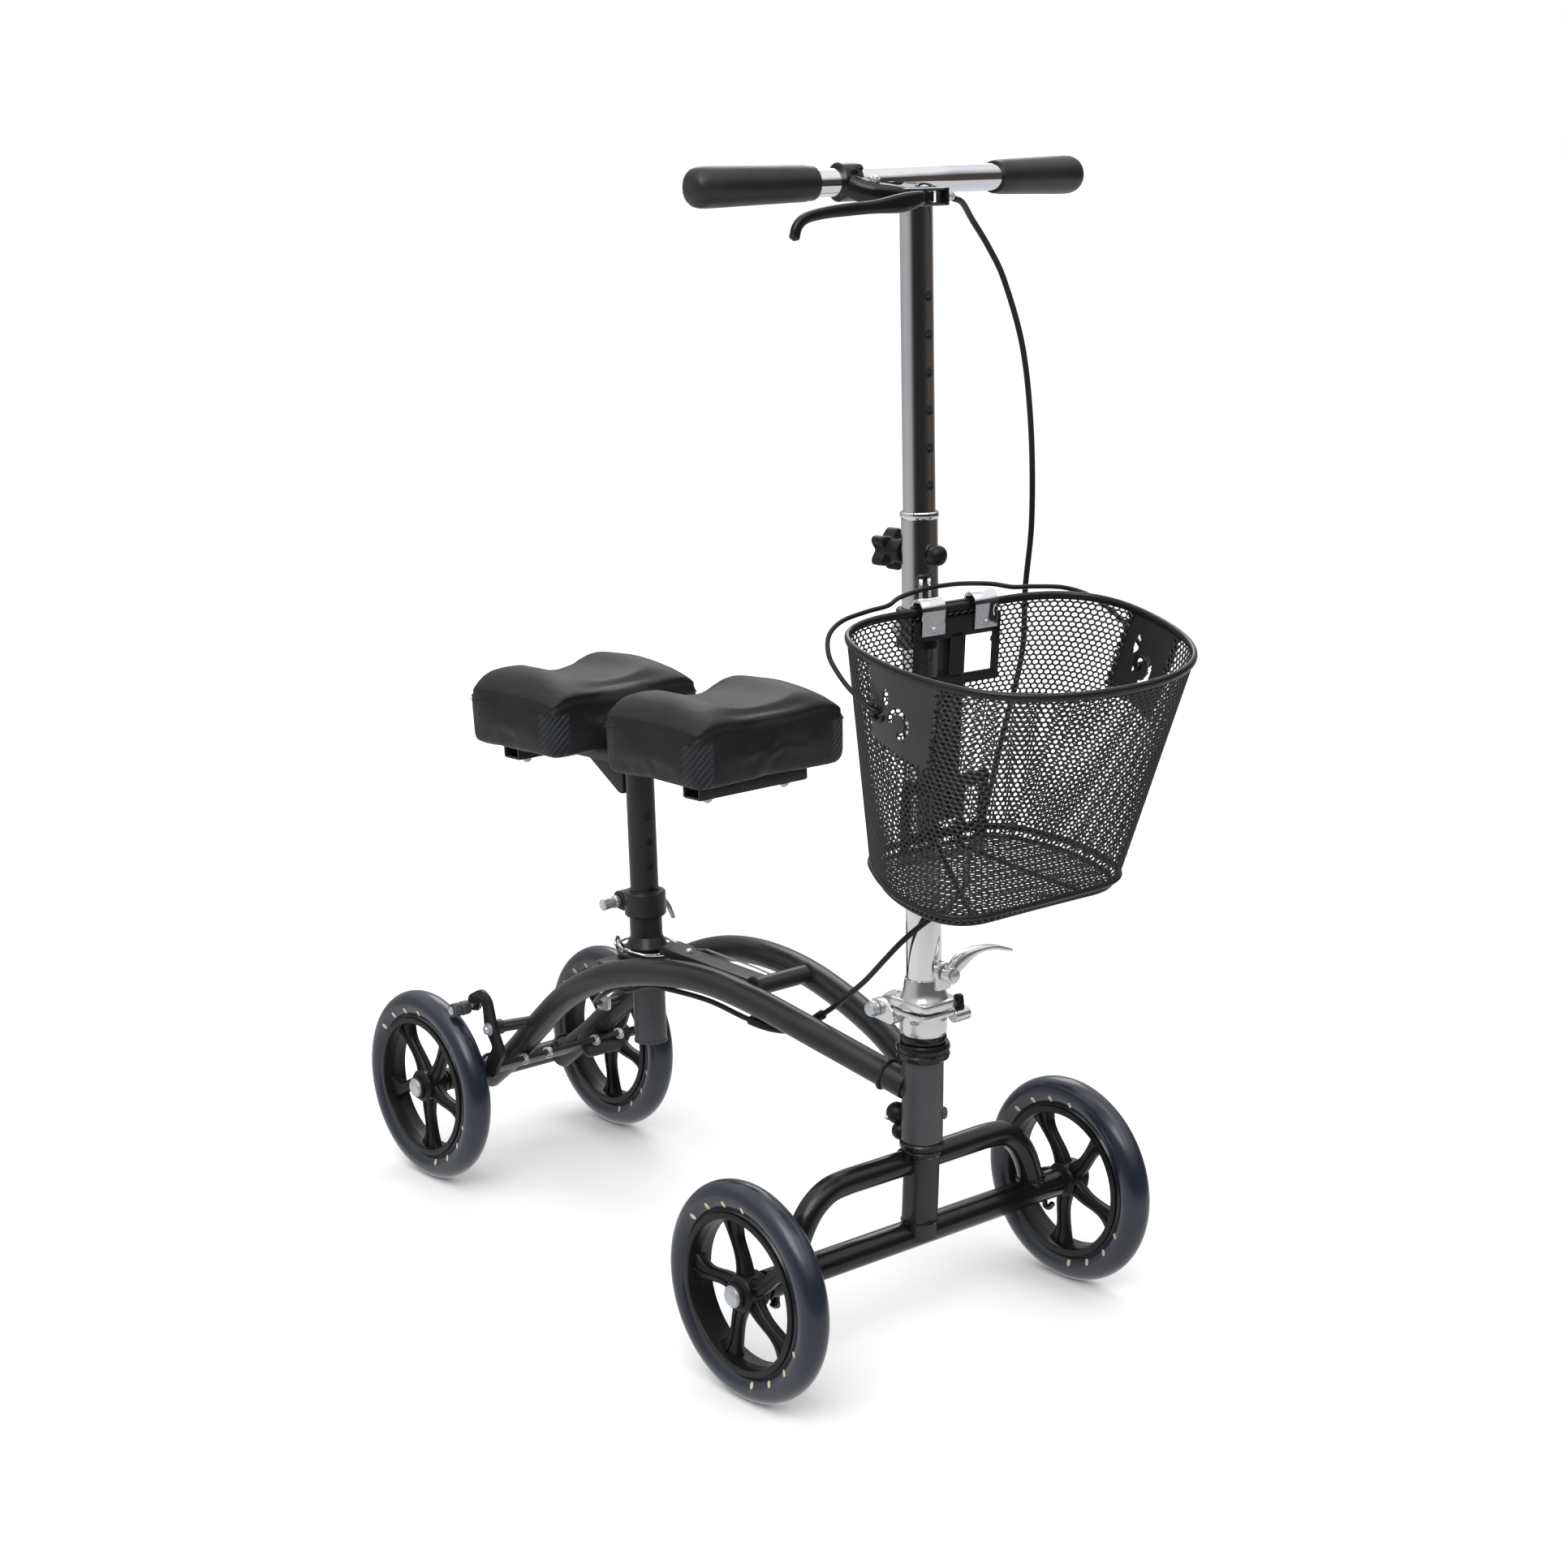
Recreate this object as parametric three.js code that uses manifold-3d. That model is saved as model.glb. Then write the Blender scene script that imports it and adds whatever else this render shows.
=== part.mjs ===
// Knee scooter: two steered front wheels, two rear wheels, an arched twin-tube frame, a saddle of two knee
// pads on a height-adjustable post, a folding, telescoping steering column with a hand brake, and a basket.
// Millimetres, +Z up, the front faces -Y, the rider's right hand is at -X. Y is measured from mid-wheelbase
// while the parts are made; at the end the whole scooter is moved so that the origin is at the bottom centre.
import * as THREE from "three";
import { mergeVertices } from "three/addons/utils/BufferGeometryUtils.js";
import Module from "manifold-3d";

const wasm = await Module();
wasm.setup();

// ---- driving dimensions ----
const GAP = 0.3; // between pieces that touch
const WHEELBASE = 586;
const FRONT_TRACK = 381;
const REAR_TRACK = 227;
const WHEEL_RADIUS = 95.25;
const TYRE_SECTION_RADIUS = 13.3;
const RIM_RADIUS = 70;
const RIM_WALL = 5.5;
const RIM_HALF_WIDTH = 11.5;
const SPOKES = 5;
const HUB_HALF_LENGTH = 17.2;
const AXLE_ROD_RADIUS = 5;

const FRAME_TUBE_RADIUS = 12.7;
const REAR_AXLE_TUBE_RADIUS = 11;
const STEER_Y = -299; // the steering axis is upright
const HEAD_TUBE = { radius: 18, bore: 15.4, low: 183, high: 257 };
const STEERER_RADIUS = 12.5;

const ARCH = { radius: 11, z: 163, straight: 92, bend: 52 };
const FRONT_TUBE_RADIUS = 12.7;

const FOLD_HINGE = { y: -262, z: 297 };
const COLUMN_LEAN = THREE.MathUtils.degToRad(1.83);
const COLUMN_FOOT = { y: -300, z: 304 };
const LOWER_COLUMN = { radius: 15.25, bore: 13.8, low: 8, high: 423 };
const UPPER_COLUMN = { radius: 13.5, bore: 11.5, low: 340 };
const HOLE_PITCH = 30.4;
const HOLE_RADIUS = 4;
const KNOB_HEIGHT = 388; // along the column
const BAR_HEIGHT = 688.5; // along the column
const BAR = { radius: 11.1, half: 201.5, straight: 14, sweep: 0.144, drop: 0.006 };
const GRIP = { inner: 98, outer: 206.5 };

const SEAT_LEAN = THREE.MathUtils.degToRad(2.8);
const SEAT_FOOT = { y: 79.5, z: 172 };
const SEAT_TUBE = { radius: 15.5, bore: 13.8, high: 150 };
const SEAT_POST = { radius: 13.5, low: 90, high: 271 };
const PAD = { half: 90, length: 138, low: 285, edge: 345, crest: 360, valley: 347, crestAt: 56 };
const PAD_CENTRES = { front: -130, rear: 82 };
const CHANNELS = { front: [-169, -145], rear: [106, 130] };

const BASKET = { half: 130, depth: 226.5, height: 208, wall: 2.6, corner: 78 };
const BASKET_FLOOR = { half: 94, depth: 162 };
const BASKET_YAW = THREE.MathUtils.degToRad(-11.1);
const BASKET_PITCH = THREE.MathUtils.degToRad(6.7);
const BASKET_ROLL = THREE.MathUtils.degToRad(-2.2);
const BASKET_PIVOT_Y = -292;
const BASKET_FOOT = { x: 3.5, y: -32, z: 452.3 }; // the back edge of its floor: x and y from its pivot

// ---- shape helpers ----
function solidOf(geometry) {
  const bare = geometry.clone();
  bare.deleteAttribute("normal");
  bare.deleteAttribute("uv");
  const merged = mergeVertices(bare, 1e-4);
  const mesh = new wasm.Mesh({
    numProp: 3,
    vertProperties: new Float32Array(merged.attributes.position.array),
    triVerts: new Uint32Array(merged.index.array),
  });
  return new wasm.Manifold(mesh);
}

function geometryOf(solid) {
  const { vertProperties, triVerts } = solid.getMesh();
  const geometry = new THREE.BufferGeometry();
  geometry.setAttribute("position", new THREE.BufferAttribute(new Float32Array(vertProperties), 3));
  geometry.setIndex(new THREE.BufferAttribute(new Uint32Array(triVerts), 1));
  geometry.computeVertexNormals();
  return geometry;
}

function join(...geometries) {
  return geometryOf(geometries.map(solidOf).reduce((all, next) => all.add(next)));
}

function cut(geometry, ...cutters) {
  return geometryOf(cutters.map(solidOf).reduce((left, next) => left.subtract(next), solidOf(geometry)));
}

const vec = (x, y, z) => new THREE.Vector3(x, y, z);

function moved(geometry, x, y, z, turnX = 0, turnY = 0, turnZ = 0) {
  const turn = new THREE.Matrix4().makeRotationFromEuler(new THREE.Euler(turnX, turnY, turnZ));
  return geometry.clone().applyMatrix4(turn).translate(x, y, z);
}

// a cylinder from one point to another
function rod(radius, from, to, sides = 14) {
  const along = to.clone().sub(from);
  const geometry = new THREE.CylinderGeometry(radius, radius, along.length(), sides);
  const turn = new THREE.Quaternion().setFromUnitVectors(vec(0, 1, 0), along.normalize());
  const middle = from.clone().add(to).multiplyScalar(0.5);
  return geometry.applyQuaternion(turn).translate(middle.x, middle.y, middle.z);
}

function box(x0, x1, y0, y1, z0, z1) {
  const geometry = new THREE.BoxGeometry(x1 - x0, y1 - y0, z1 - z0);
  return geometry.translate((x0 + x1) / 2, (y0 + y1) / 2, (z0 + z1) / 2);
}

// a body turned about Z: its profile is [radius, height] points, counter-clockwise
function turned(profile, sides = 24) {
  const points = profile.map(([r, z]) => new THREE.Vector2(r, z));
  return new THREE.LatheGeometry(points, sides).rotateX(Math.PI / 2);
}

function ring(inner, outer, low, high, sides = 24) {
  return turned([[inner, low], [outer, low], [outer, high], [inner, high], [inner, low]], sides);
}

function circle(radius, sides) {
  const shape = new THREE.Shape();
  for (let i = 0; i < sides; i++) {
    const a = (2 * Math.PI * i) / sides;
    if (i) shape.lineTo(radius * Math.cos(a), radius * Math.sin(a));
    else shape.moveTo(radius, 0);
  }
  return shape;
}

// a round bar along a curve
function pipe(radius, curve, steps, sides = 16) {
  return new THREE.ExtrudeGeometry(circle(radius, sides), { steps, extrudePath: curve, bevelEnabled: false });
}

const through = (points) => new THREE.CatmullRomCurve3(points.map((p) => vec(...p)));

function roundedRect(width, height, corner) {
  const w = width / 2, h = height / 2, shape = new THREE.Shape();
  shape.moveTo(w, h - corner);
  shape.absarc(w - corner, h - corner, corner, 0, Math.PI / 2);
  shape.absarc(corner - w, h - corner, corner, Math.PI / 2, Math.PI);
  shape.absarc(corner - w, corner - h, corner, Math.PI, 1.5 * Math.PI);
  shape.absarc(w - corner, corner - h, corner, 1.5 * Math.PI, 2 * Math.PI);
  return shape;
}

// a flat shape in X and Y raised from low to high
function raised(shape, low, high, curveSegments = 4) {
  const depth = high - low;
  return new THREE.ExtrudeGeometry(shape, { depth, bevelEnabled: false, curveSegments }).translate(0, 0, low);
}

// a flat shape drawn in (Y, Z), thick from x0 to x1
function sideways(shape, x0, x1, curveSegments = 6) {
  const turn = new THREE.Matrix4().makeBasis(vec(0, 1, 0), vec(0, 0, 1), vec(1, 0, 0));
  return raised(shape, x0, x1, curveSegments).applyMatrix4(turn);
}

function polygon(points) {
  return new THREE.Shape(points.map(([a, b]) => new THREE.Vector2(a, b)));
}

// a round-ended bar in (Y, Z), thick from x0 to x1
function strap(width, [y0, z0], [y1, z1], x0, x1) {
  const length = Math.hypot(y1 - y0, z1 - z0), r = width / 2, shape = new THREE.Shape();
  shape.absarc(length, 0, r, -Math.PI / 2, Math.PI / 2);
  shape.absarc(0, 0, r, Math.PI / 2, 1.5 * Math.PI);
  shape.closePath();
  const bar = sideways(shape, x0, x1, 3);
  return moved(bar, 0, y0, z0, Math.atan2(z1 - z0, y1 - y0));
}

// ---- materials ----
const material = (color, roughness, metalness = 0) =>
  new THREE.MeshStandardMaterial({ color, roughness, metalness });
const FRAME_BLACK = material(0x2b2c2e, 0.45, 0.2);
const CHROME = material(0xd8dadc, 0.12, 1);
const CAST_SILVER = material(0xc4c6c8, 0.35, 0.9);
const ZINC = material(0xa9b3b8, 0.35, 0.9);
const BLACK_PLASTIC = material(0x1c1d1f, 0.5);
const TYRE = material(0x2c3440, 0.3);
const GRIP_FOAM = material(0x26272a, 0.8);
const VINYL = material(0x2f3033, 0.6);
const CABLE_BLACK = material(0x18191b, 0.5);
const WIRE_BLACK = material(0x1e1f21, 0.45, 0.2);

// ---- groups, one for each thing that has its own placing ----
const scooter = new THREE.Group();

function add(name, geometry, look, group = scooter) {
  const mesh = new THREE.Mesh(geometry, look);
  mesh.name = name;
  group.add(mesh);
  return mesh;
}

const seat = new THREE.Group();
seat.position.set(0, SEAT_FOOT.y, SEAT_FOOT.z);
seat.rotation.x = -SEAT_LEAN;
const column = new THREE.Group();
column.position.set(0, COLUMN_FOOT.y, COLUMN_FOOT.z);
column.rotation.x = -COLUMN_LEAN;
scooter.add(seat, column);

const SIDES = { right: -1, left: 1 };
const FRONT_AXLE_Y = -WHEELBASE / 2;
const REAR_AXLE_Y = WHEELBASE / 2;

// ---- wheels ----
function tyre() {
  const centre = WHEEL_RADIUS - TYRE_SECTION_RADIUS;
  const seatRadius = RIM_RADIUS + GAP;
  const start = Math.acos((seatRadius - centre) / TYRE_SECTION_RADIUS);
  const profile = [];
  for (let i = 0; i <= 8; i++) {
    const a = -start + (2 * start * i) / 8;
    profile.push([centre + TYRE_SECTION_RADIUS * Math.cos(a), TYRE_SECTION_RADIUS * Math.sin(a)]);
  }
  profile.push(profile[0]);
  return turned(profile, 36);
}

// one S-curved spoke, drawn outward along X
function spokeShape() {
  const from = 11, to = RIM_RADIUS - 2, bow = 4.5, steps = 5, edges = [[], []];
  for (let i = 0; i <= steps; i++) {
    const t = i / steps;
    const side = bow * Math.sin(2 * Math.PI * t);
    const half = 4 + 4.5 * (2 * t - 0.9) ** 2;
    edges[0].push([from + (to - from) * t, side - half]);
    edges[1].unshift([from + (to - from) * t, side + half]);
  }
  return polygon([...edges[0], ...edges[1]]);
}

function rim() {
  const inner = RIM_RADIUS - RIM_WALL, w = RIM_HALF_WIDTH, h = HUB_HALF_LENGTH;
  const barrel = ring(inner, RIM_RADIUS, -w, w, 36);
  const hub = turned([[1, -h], [11, -h], [12, -w], [16, -w + 2], [16, w - 2], [12, w], [11, h], [1, h],
    [1, -h]], 16);
  const spokes = [];
  for (let i = 0; i < SPOKES; i++) {
    spokes.push(moved(raised(spokeShape(), -5, 5), 0, 0, 0, 0, 0, (2 * Math.PI * i) / SPOKES));
  }
  const bore = ring(0, AXLE_ROD_RADIUS + GAP, -h - 1, h + 1, 16);
  return cut(join(barrel, hub, ...spokes), bore);
}

function addWheels(end, track, y) {
  for (const [side, sign] of Object.entries(SIDES)) {
    const wheel = new THREE.Group();
    wheel.position.set((sign * track) / 2, y, WHEEL_RADIUS);
    wheel.rotation.y = Math.PI / 2;
    scooter.add(wheel);
    add(`${end}_tyre_${side}`, tyre(), TYRE, wheel);
    add(`${end}_rim_${side}`, rim(), BLACK_PLASTIC, wheel);
  }
}

// a rod through both hubs and the axle tube, with a hexagon head at each end
function axleRod(track, y) {
  const face = track / 2 + HUB_HALF_LENGTH + GAP, head = 4;
  const at = (x) => vec(x, y, WHEEL_RADIUS);
  return join(
    rod(AXLE_ROD_RADIUS, at(-face - 1), at(face + 1), 16),
    rod(9.5, at(-face - head), at(-face), 6),
    rod(9.5, at(face), at(face + head), 6),
  );
}

function axleTube(radius, track, y) {
  const end = track / 2 - HUB_HALF_LENGTH - GAP;
  const at = (x) => vec(x, y, WHEEL_RADIUS);
  return cut(rod(radius, at(-end), at(end), 24), rod(AXLE_ROD_RADIUS + GAP, at(-end - 1), at(end + 1), 16));
}

addWheels("front", FRONT_TRACK, FRONT_AXLE_Y);
addWheels("rear", REAR_TRACK, REAR_AXLE_Y);
add("front_axle_rod", axleRod(FRONT_TRACK, FRONT_AXLE_Y), ZINC);
add("rear_axle_rod", axleRod(REAR_TRACK, REAR_AXLE_Y), ZINC);

// ---- front axle frame ----
function frontAxleTube() {
  const tabAt = FRONT_TRACK / 2 - HUB_HALF_LENGTH - 12;
  const tube = axleTube(FRONT_TUBE_RADIUS, FRONT_TRACK, FRONT_AXLE_Y);
  const low = WHEEL_RADIUS - FRONT_TUBE_RADIUS - 7;
  const tabs = Object.values(SIDES).map((sign) => box(sign * tabAt - 4, sign * tabAt + 4, FRONT_AXLE_Y - 5,
    FRONT_AXLE_Y + 5, low, low + 9));
  return join(tube, ...tabs);
}

const steererFoot = vec(0, STEER_Y, WHEEL_RADIUS);
const frontTubeCutter = rod(FRONT_TUBE_RADIUS + GAP, vec(-200, FRONT_AXLE_Y, WHEEL_RADIUS),
  vec(200, FRONT_AXLE_Y, WHEEL_RADIUS), 24);
const riserTop = HEAD_TUBE.high + 30;

function frontRiser() {
  const riser = rod(STEERER_RADIUS, steererFoot, vec(0, STEER_Y, riserTop), 24);
  const crown = ring(5, 17, HEAD_TUBE.low - 14, HEAD_TUBE.low - 7.3, 24).translate(0, STEER_Y, 0);
  return cut(join(riser, crown), frontTubeCutter);
}

function frontArch(sign) {
  const { radius, z, straight, bend } = ARCH;
  const path = new THREE.CurvePath();
  const corner = vec(sign * (straight + bend), FRONT_AXLE_Y, z);
  const bendStart = vec(sign * straight, FRONT_AXLE_Y, z);
  const bendEnd = vec(sign * (straight + bend), FRONT_AXLE_Y, z - bend);
  path.add(new THREE.LineCurve3(vec(sign * 5, FRONT_AXLE_Y, z), bendStart));
  path.add(new THREE.CubicBezierCurve3(bendStart, bendStart.clone().lerp(corner, 0.552),
    bendEnd.clone().lerp(corner, 0.552), bendEnd));
  path.add(new THREE.LineCurve3(bendEnd, bendEnd.clone().setZ(WHEEL_RADIUS)));
  const riser = rod(STEERER_RADIUS + GAP, steererFoot, vec(0, STEER_Y, riserTop), 24);
  const crown = ring(0, 17 + GAP, HEAD_TUBE.low - 14.5, HEAD_TUBE.low, 24).translate(0, STEER_Y, 0);
  return cut(pipe(radius, path, 12, 14), frontTubeCutter, riser, crown);
}

add("front_axle_tube", frontAxleTube(), FRAME_BLACK);
add("front_riser", frontRiser(), FRAME_BLACK);
add("front_arch_right", frontArch(-1), FRAME_BLACK);
add("front_arch_left", frontArch(1), FRAME_BLACK);

// ---- main frame ----
const FRAME_TUBE_POINTS = [
  [10, -290, 232],
  [30, -205, 256],
  [41, -120, 273],
  [47, -50, 277],
  [56, 20, 267],
  [59, 80, 247],
  [55, 140, 213],
  [50, 195, 168],
  [47, 240, 127],
  [45, REAR_AXLE_Y - 8, 92],
];

function frameTubeCurve(sign) {
  return through(FRAME_TUBE_POINTS.map(([x, y, z]) => [sign * x, y, z]));
}

const frameTubeCutters = Object.values(SIDES).map((sign) =>
  pipe(FRAME_TUBE_RADIUS + GAP, frameTubeCurve(sign), 24, 16));
const headTubeCutter = rod(HEAD_TUBE.radius + GAP, vec(0, STEER_Y, 150), vec(0, STEER_Y, 300), 32);
const rearTubeCutter = rod(REAR_AXLE_TUBE_RADIUS + GAP, vec(-120, REAR_AXLE_Y, WHEEL_RADIUS),
  vec(120, REAR_AXLE_Y, WHEEL_RADIUS), 24);

// each tube starts on its own side of the middle plane, where the two meet behind the head tube
function frameTube(sign) {
  const otherHalf = sign > 0 ? box(-100, GAP / 2, -330, 0, 150, 330) : box(-GAP / 2, 100, -330, 0, 150, 330);
  const tube = pipe(FRAME_TUBE_RADIUS, frameTubeCurve(sign), 24, 16);
  return cut(tube, headTubeCutter, rearTubeCutter, otherHalf);
}

function headTube() {
  const { radius, bore, low, high } = HEAD_TUBE;
  const tube = ring(bore, radius, low, high).translate(0, STEER_Y, 0);
  const back = STEER_Y + radius;
  const stopLug = box(-7, 7, back - 1.5, back + 14, low + 2, low + 24);
  const bolt = rod(6, vec(0, STEER_Y - radius - 4, low + 18), vec(0, STEER_Y - radius + 1, low + 18), 12);
  return join(tube, stopLug, bolt);
}

function headsetCup(outer, low, high) {
  const lip = 1.5;
  const profile = [[STEERER_RADIUS + GAP, low], [outer - lip, low], [outer, low + lip], [outer, high - lip],
    [outer - lip, high], [STEERER_RADIUS + GAP, high], [STEERER_RADIUS + GAP, low]];
  return turned(profile).translate(0, STEER_Y, 0);
}

add("frame_tube_right", frameTube(-1), FRAME_BLACK);
add("frame_tube_left", frameTube(1), FRAME_BLACK);
add("rear_axle_tube", axleTube(REAR_AXLE_TUBE_RADIUS, REAR_TRACK, REAR_AXLE_Y), FRAME_BLACK);
add("head_tube", headTube(), FRAME_BLACK);
add("headset_lower_cup", headsetCup(19.5, HEAD_TUBE.low - 7, HEAD_TUBE.low - GAP), BLACK_PLASTIC);
const upperCupTop = HEAD_TUBE.high + 17;
add("headset_upper_cup", headsetCup(23.6, HEAD_TUBE.high + GAP, upperCupTop), BLACK_PLASTIC);
add("headset_cover", headsetCup(19.5, upperCupTop + GAP, upperCupTop + 9.5), BLACK_PLASTIC);

const seatPlaced = (geometry) => moved(geometry, 0, SEAT_FOOT.y, SEAT_FOOT.z, -SEAT_LEAN);
const seatTubeCutter = seatPlaced(ring(0, SEAT_TUBE.radius + GAP, -10, 220));
add("seat_tube", ring(SEAT_TUBE.bore, SEAT_TUBE.radius, 0, SEAT_TUBE.high), FRAME_BLACK, seat);

function seatBridge() {
  const flange = ring(5, 29, 264, 268, 28).translate(0, SEAT_FOOT.y + 4.6, 0);
  const plate = box(-56, 56, SEAT_FOOT.y - 16, SEAT_FOOT.y + 20, 243, 264.5);
  return cut(join(plate, flange), seatTubeCutter, ...frameTubeCutters);
}
add("seat_bridge", seatBridge(), FRAME_BLACK);

const BRACE = { y: -112, z: 280, radius: 8.5 };
function crossBrace() {
  const bar = rod(BRACE.radius, vec(-42, BRACE.y, BRACE.z), vec(42, BRACE.y, BRACE.z), 16);
  return cut(bar, ...frameTubeCutters);
}
add("cross_brace", crossBrace(), FRAME_BLACK);
const spineFront = BRACE.y + BRACE.radius + GAP;
add("spine_bar", box(-11, 11, spineFront, SEAT_FOOT.y - 26, 267, 275), FRAME_BLACK);

// ---- rear brake: one yoke across both rear wheels, swung about two pivot bolts ----
const BRAKE_PIVOT = { y: 212, z: 170 };
const BRAKE_ARM = { inner: 91, outer: 96 };
const SHOE = { y: 241, z: 186.5, radius: 7 };
const YOKE_BAR = { y: 213, z: 128 };

function brakeBracket(sign) {
  const { y, z } = BRAKE_PIVOT, { inner, outer } = BRAKE_ARM;
  const arm = rod(6, vec(sign * 50, 198, 172), vec(sign * (inner - 4), y, z), 12);
  const boss = rod(7, vec(sign * (inner - 8), y, z), vec(sign * (inner - GAP), y, z), 16);
  const pin = rod(3.6, vec(sign * (inner - 2), y, z), vec(sign * (outer + 3), y, z), 12);
  const head = rod(6.5, vec(sign * (outer + GAP), y, z), vec(sign * (outer + 3.6), y, z), 6);
  return cut(join(arm, boss, pin, head), ...frameTubeCutters);
}

function brakeYoke() {
  const { y, z } = BRAKE_PIVOT, { inner, outer } = BRAKE_ARM, parts = [];
  for (const sign of Object.values(SIDES)) {
    const [x0, x1] = [sign * inner, sign * outer].sort((a, b) => a - b);
    const corner = [219, 198], knee = [197, 146];
    parts.push(strap(12, [SHOE.y, SHOE.z], corner, x0, x1));
    parts.push(strap(12, corner, [y, z], x0, x1));
    parts.push(strap(13, [y, z], knee, x0, x1));
    parts.push(strap(13, knee, [YOKE_BAR.y, YOKE_BAR.z], x0, x1));
    const stub = [vec(sign * inner, SHOE.y, SHOE.z), vec(sign * (outer + 26), SHOE.y, SHOE.z)];
    parts.push(rod(2.5, ...stub, 10));
  }
  const bar = moved(box(-outer, outer, -2.5, 2.5, -8.5, 8.5), 0, YOKE_BAR.y, YOKE_BAR.z, 0.85);
  const pinch = rod(5, vec(12, YOKE_BAR.y - 6, YOKE_BAR.z - 6), vec(12, YOKE_BAR.y, YOKE_BAR.z), 12);
  const holes = Object.values(SIDES).map((sign) =>
    rod(3.6 + GAP, vec(sign * (inner - 5), y, z), vec(sign * (outer + 5), y, z), 12));
  return cut(join(...parts, bar, pinch), ...holes);
}

function brakeShoe(sign) {
  const at = (x) => vec(sign * x, SHOE.y, SHOE.z);
  const start = BRAKE_ARM.outer + GAP + 4;
  const bore = rod(2.5 + GAP, at(start - 1), at(start + 30), 10);
  return cut(rod(SHOE.radius, at(start), at(start + 19), 16), bore);
}

for (const [side, sign] of Object.entries(SIDES)) {
  add(`brake_bracket_${side}`, brakeBracket(sign), FRAME_BLACK);
  add(`brake_shoe_${side}`, brakeShoe(sign), CAST_SILVER);
}
add("brake_yoke", brakeYoke(), FRAME_BLACK);

// ---- brake cable: a free stretch down to the clip, then along the right frame tube to its stop ----
const CABLE_RADIUS = 2.5;
const CABLE_FREE_ROUTE = [
  [3.4, -318.1, 978.5],
  [18, -313, 974.5],
  [40, -302, 960],
  [66, -295, 937],
  [90, -290, 908],
  [118, -285, 851],
  [135, -280, 780],
  [140, -278, 704],
  [134, -278, 646],
  [131, -280, 600],
  [123, -280, 565],
  [109, -280, 524],
  [97, -280, 483],
  [79, -282, 444],
  [55, -294, 420],
  [32, -314, 408],
  [4, -322, 396],
  [-16, -315, 384],
  [-26, -300, 367],
  [-28, -280, 346],
  [-24, -254, 322],
  [-18, -228, 302],
  [-14.5, -204, 283.5],
  [-14.3, -176, 263],
];
const CABLE_FRAME_ROUTE = [
  [-14.3, -175.5, 262.6],
  [-15.5, -163, 253.6],
  [-24, -148, 248.6],
  [-34, -132, 249.5],
  [-42, -110, 254],
  [-45, -65, 258.5],
  [-47, -12, 256],
  [-48, 20, 251.5],
  [-43, 58, 237],
  [-36, 85, 231],
  [-28, 120, 213],
  [-13, 150, 196],
  [2, 168, 187],
  [12, 176, 183],
];
const cable = (route, steps, radius = CABLE_RADIUS) => pipe(radius, through(route), steps, 8);
const FREE_STEPS = 60;
const FRAME_STEPS = 30;
add("brake_cable_free", cable(CABLE_FREE_ROUTE, FREE_STEPS), CABLE_BLACK);
add("brake_cable_frame", cable(CABLE_FRAME_ROUTE, FRAME_STEPS), CABLE_BLACK);

// a sleeve round the meeting point of the two stretches, held to the inner side of the right frame tube
function cableClip() {
  const shell = rod(5.2, vec(-14.2, -186, 270.4), vec(-15.3, -168, 257.6), 12);
  const pad = box(-30, -17, -182, -172, 260, 268);
  const bores = [cable(CABLE_FREE_ROUTE, FREE_STEPS, CABLE_RADIUS + GAP),
    cable(CABLE_FRAME_ROUTE, FRAME_STEPS, CABLE_RADIUS + GAP)];
  return cut(join(shell, pad), ...bores, ...frameTubeCutters);
}
add("cable_clip", cableClip(), BLACK_PLASTIC);

function cableStop() {
  const end = vec(15.4, 179.6, 181.2), along = vec(16, 16, -8).normalize();
  const onAxis = (far) => end.clone().addScaledVector(along, far);
  const barrel = rod(4.2, onAxis(-0.6), onAxis(9), 12);
  const arm = rod(3.5, vec(18, 184, 178), vec(60, 178, 182), 10);
  return cut(join(barrel, arm), ...frameTubeCutters);
}
add("cable_stop", cableStop(), ZINC);

// ---- seat ----
function seatClamp() {
  const { radius, high } = SEAT_TUBE, low = high - 25, back = radius + 14;
  const collar = ring(5, radius + 4.5, low, high - 1);
  const ears = [box(-15, -1.6, 10, back, low + 3, high - 4), box(1.6, 15, 10, back, low + 3, high - 4)];
  const mid = low + 12, boltY = back - 6;
  const bolt = rod(3.6, vec(-34, boltY, mid), vec(15.4, boltY, mid), 12);
  const nut = rod(5.6, vec(-32, boltY, mid), vec(-14.5, boltY, mid), 14);
  const slot = box(-1.6, 1.6, radius, back - 11, low - 1, high + 1);
  return cut(join(cut(join(collar, ...ears), slot), bolt, nut), ring(0, radius + GAP, low - 1, high + 1));
}
add("seat_clamp", seatClamp(), FRAME_BLACK, seat);

const SEAT_LEVER = { x: 22, y: SEAT_TUBE.radius + 8, s: SEAT_TUBE.high - 13 };
function seatLever() {
  const { x, y, s } = SEAT_LEVER;
  const cam = rod(6.2, vec(x, y - 6, s), vec(x, y + 6, s), 16);
  const curve = through([[x, y, s], [x + 8, y, s - 4], [x + 11, y, s - 14], [x + 11, y - 2, s - 26]]);
  return join(cam, pipe(2.6, curve, 10, 8));
}
add("seat_lever", seatLever(), ZINC, seat);

function seatPost() {
  const { radius, low, high } = SEAT_POST;
  const bar = turned([[0, low], [radius, low], [radius, high], [0, high]], 28);
  const holes = [151, 174, 198].map((s) => rod(3, vec(0, 4 - radius, s), vec(0, -radius - 1, s), 12));
  return cut(bar, ...holes);
}
add("seat_post", seatPost(), FRAME_BLACK, seat);

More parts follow.
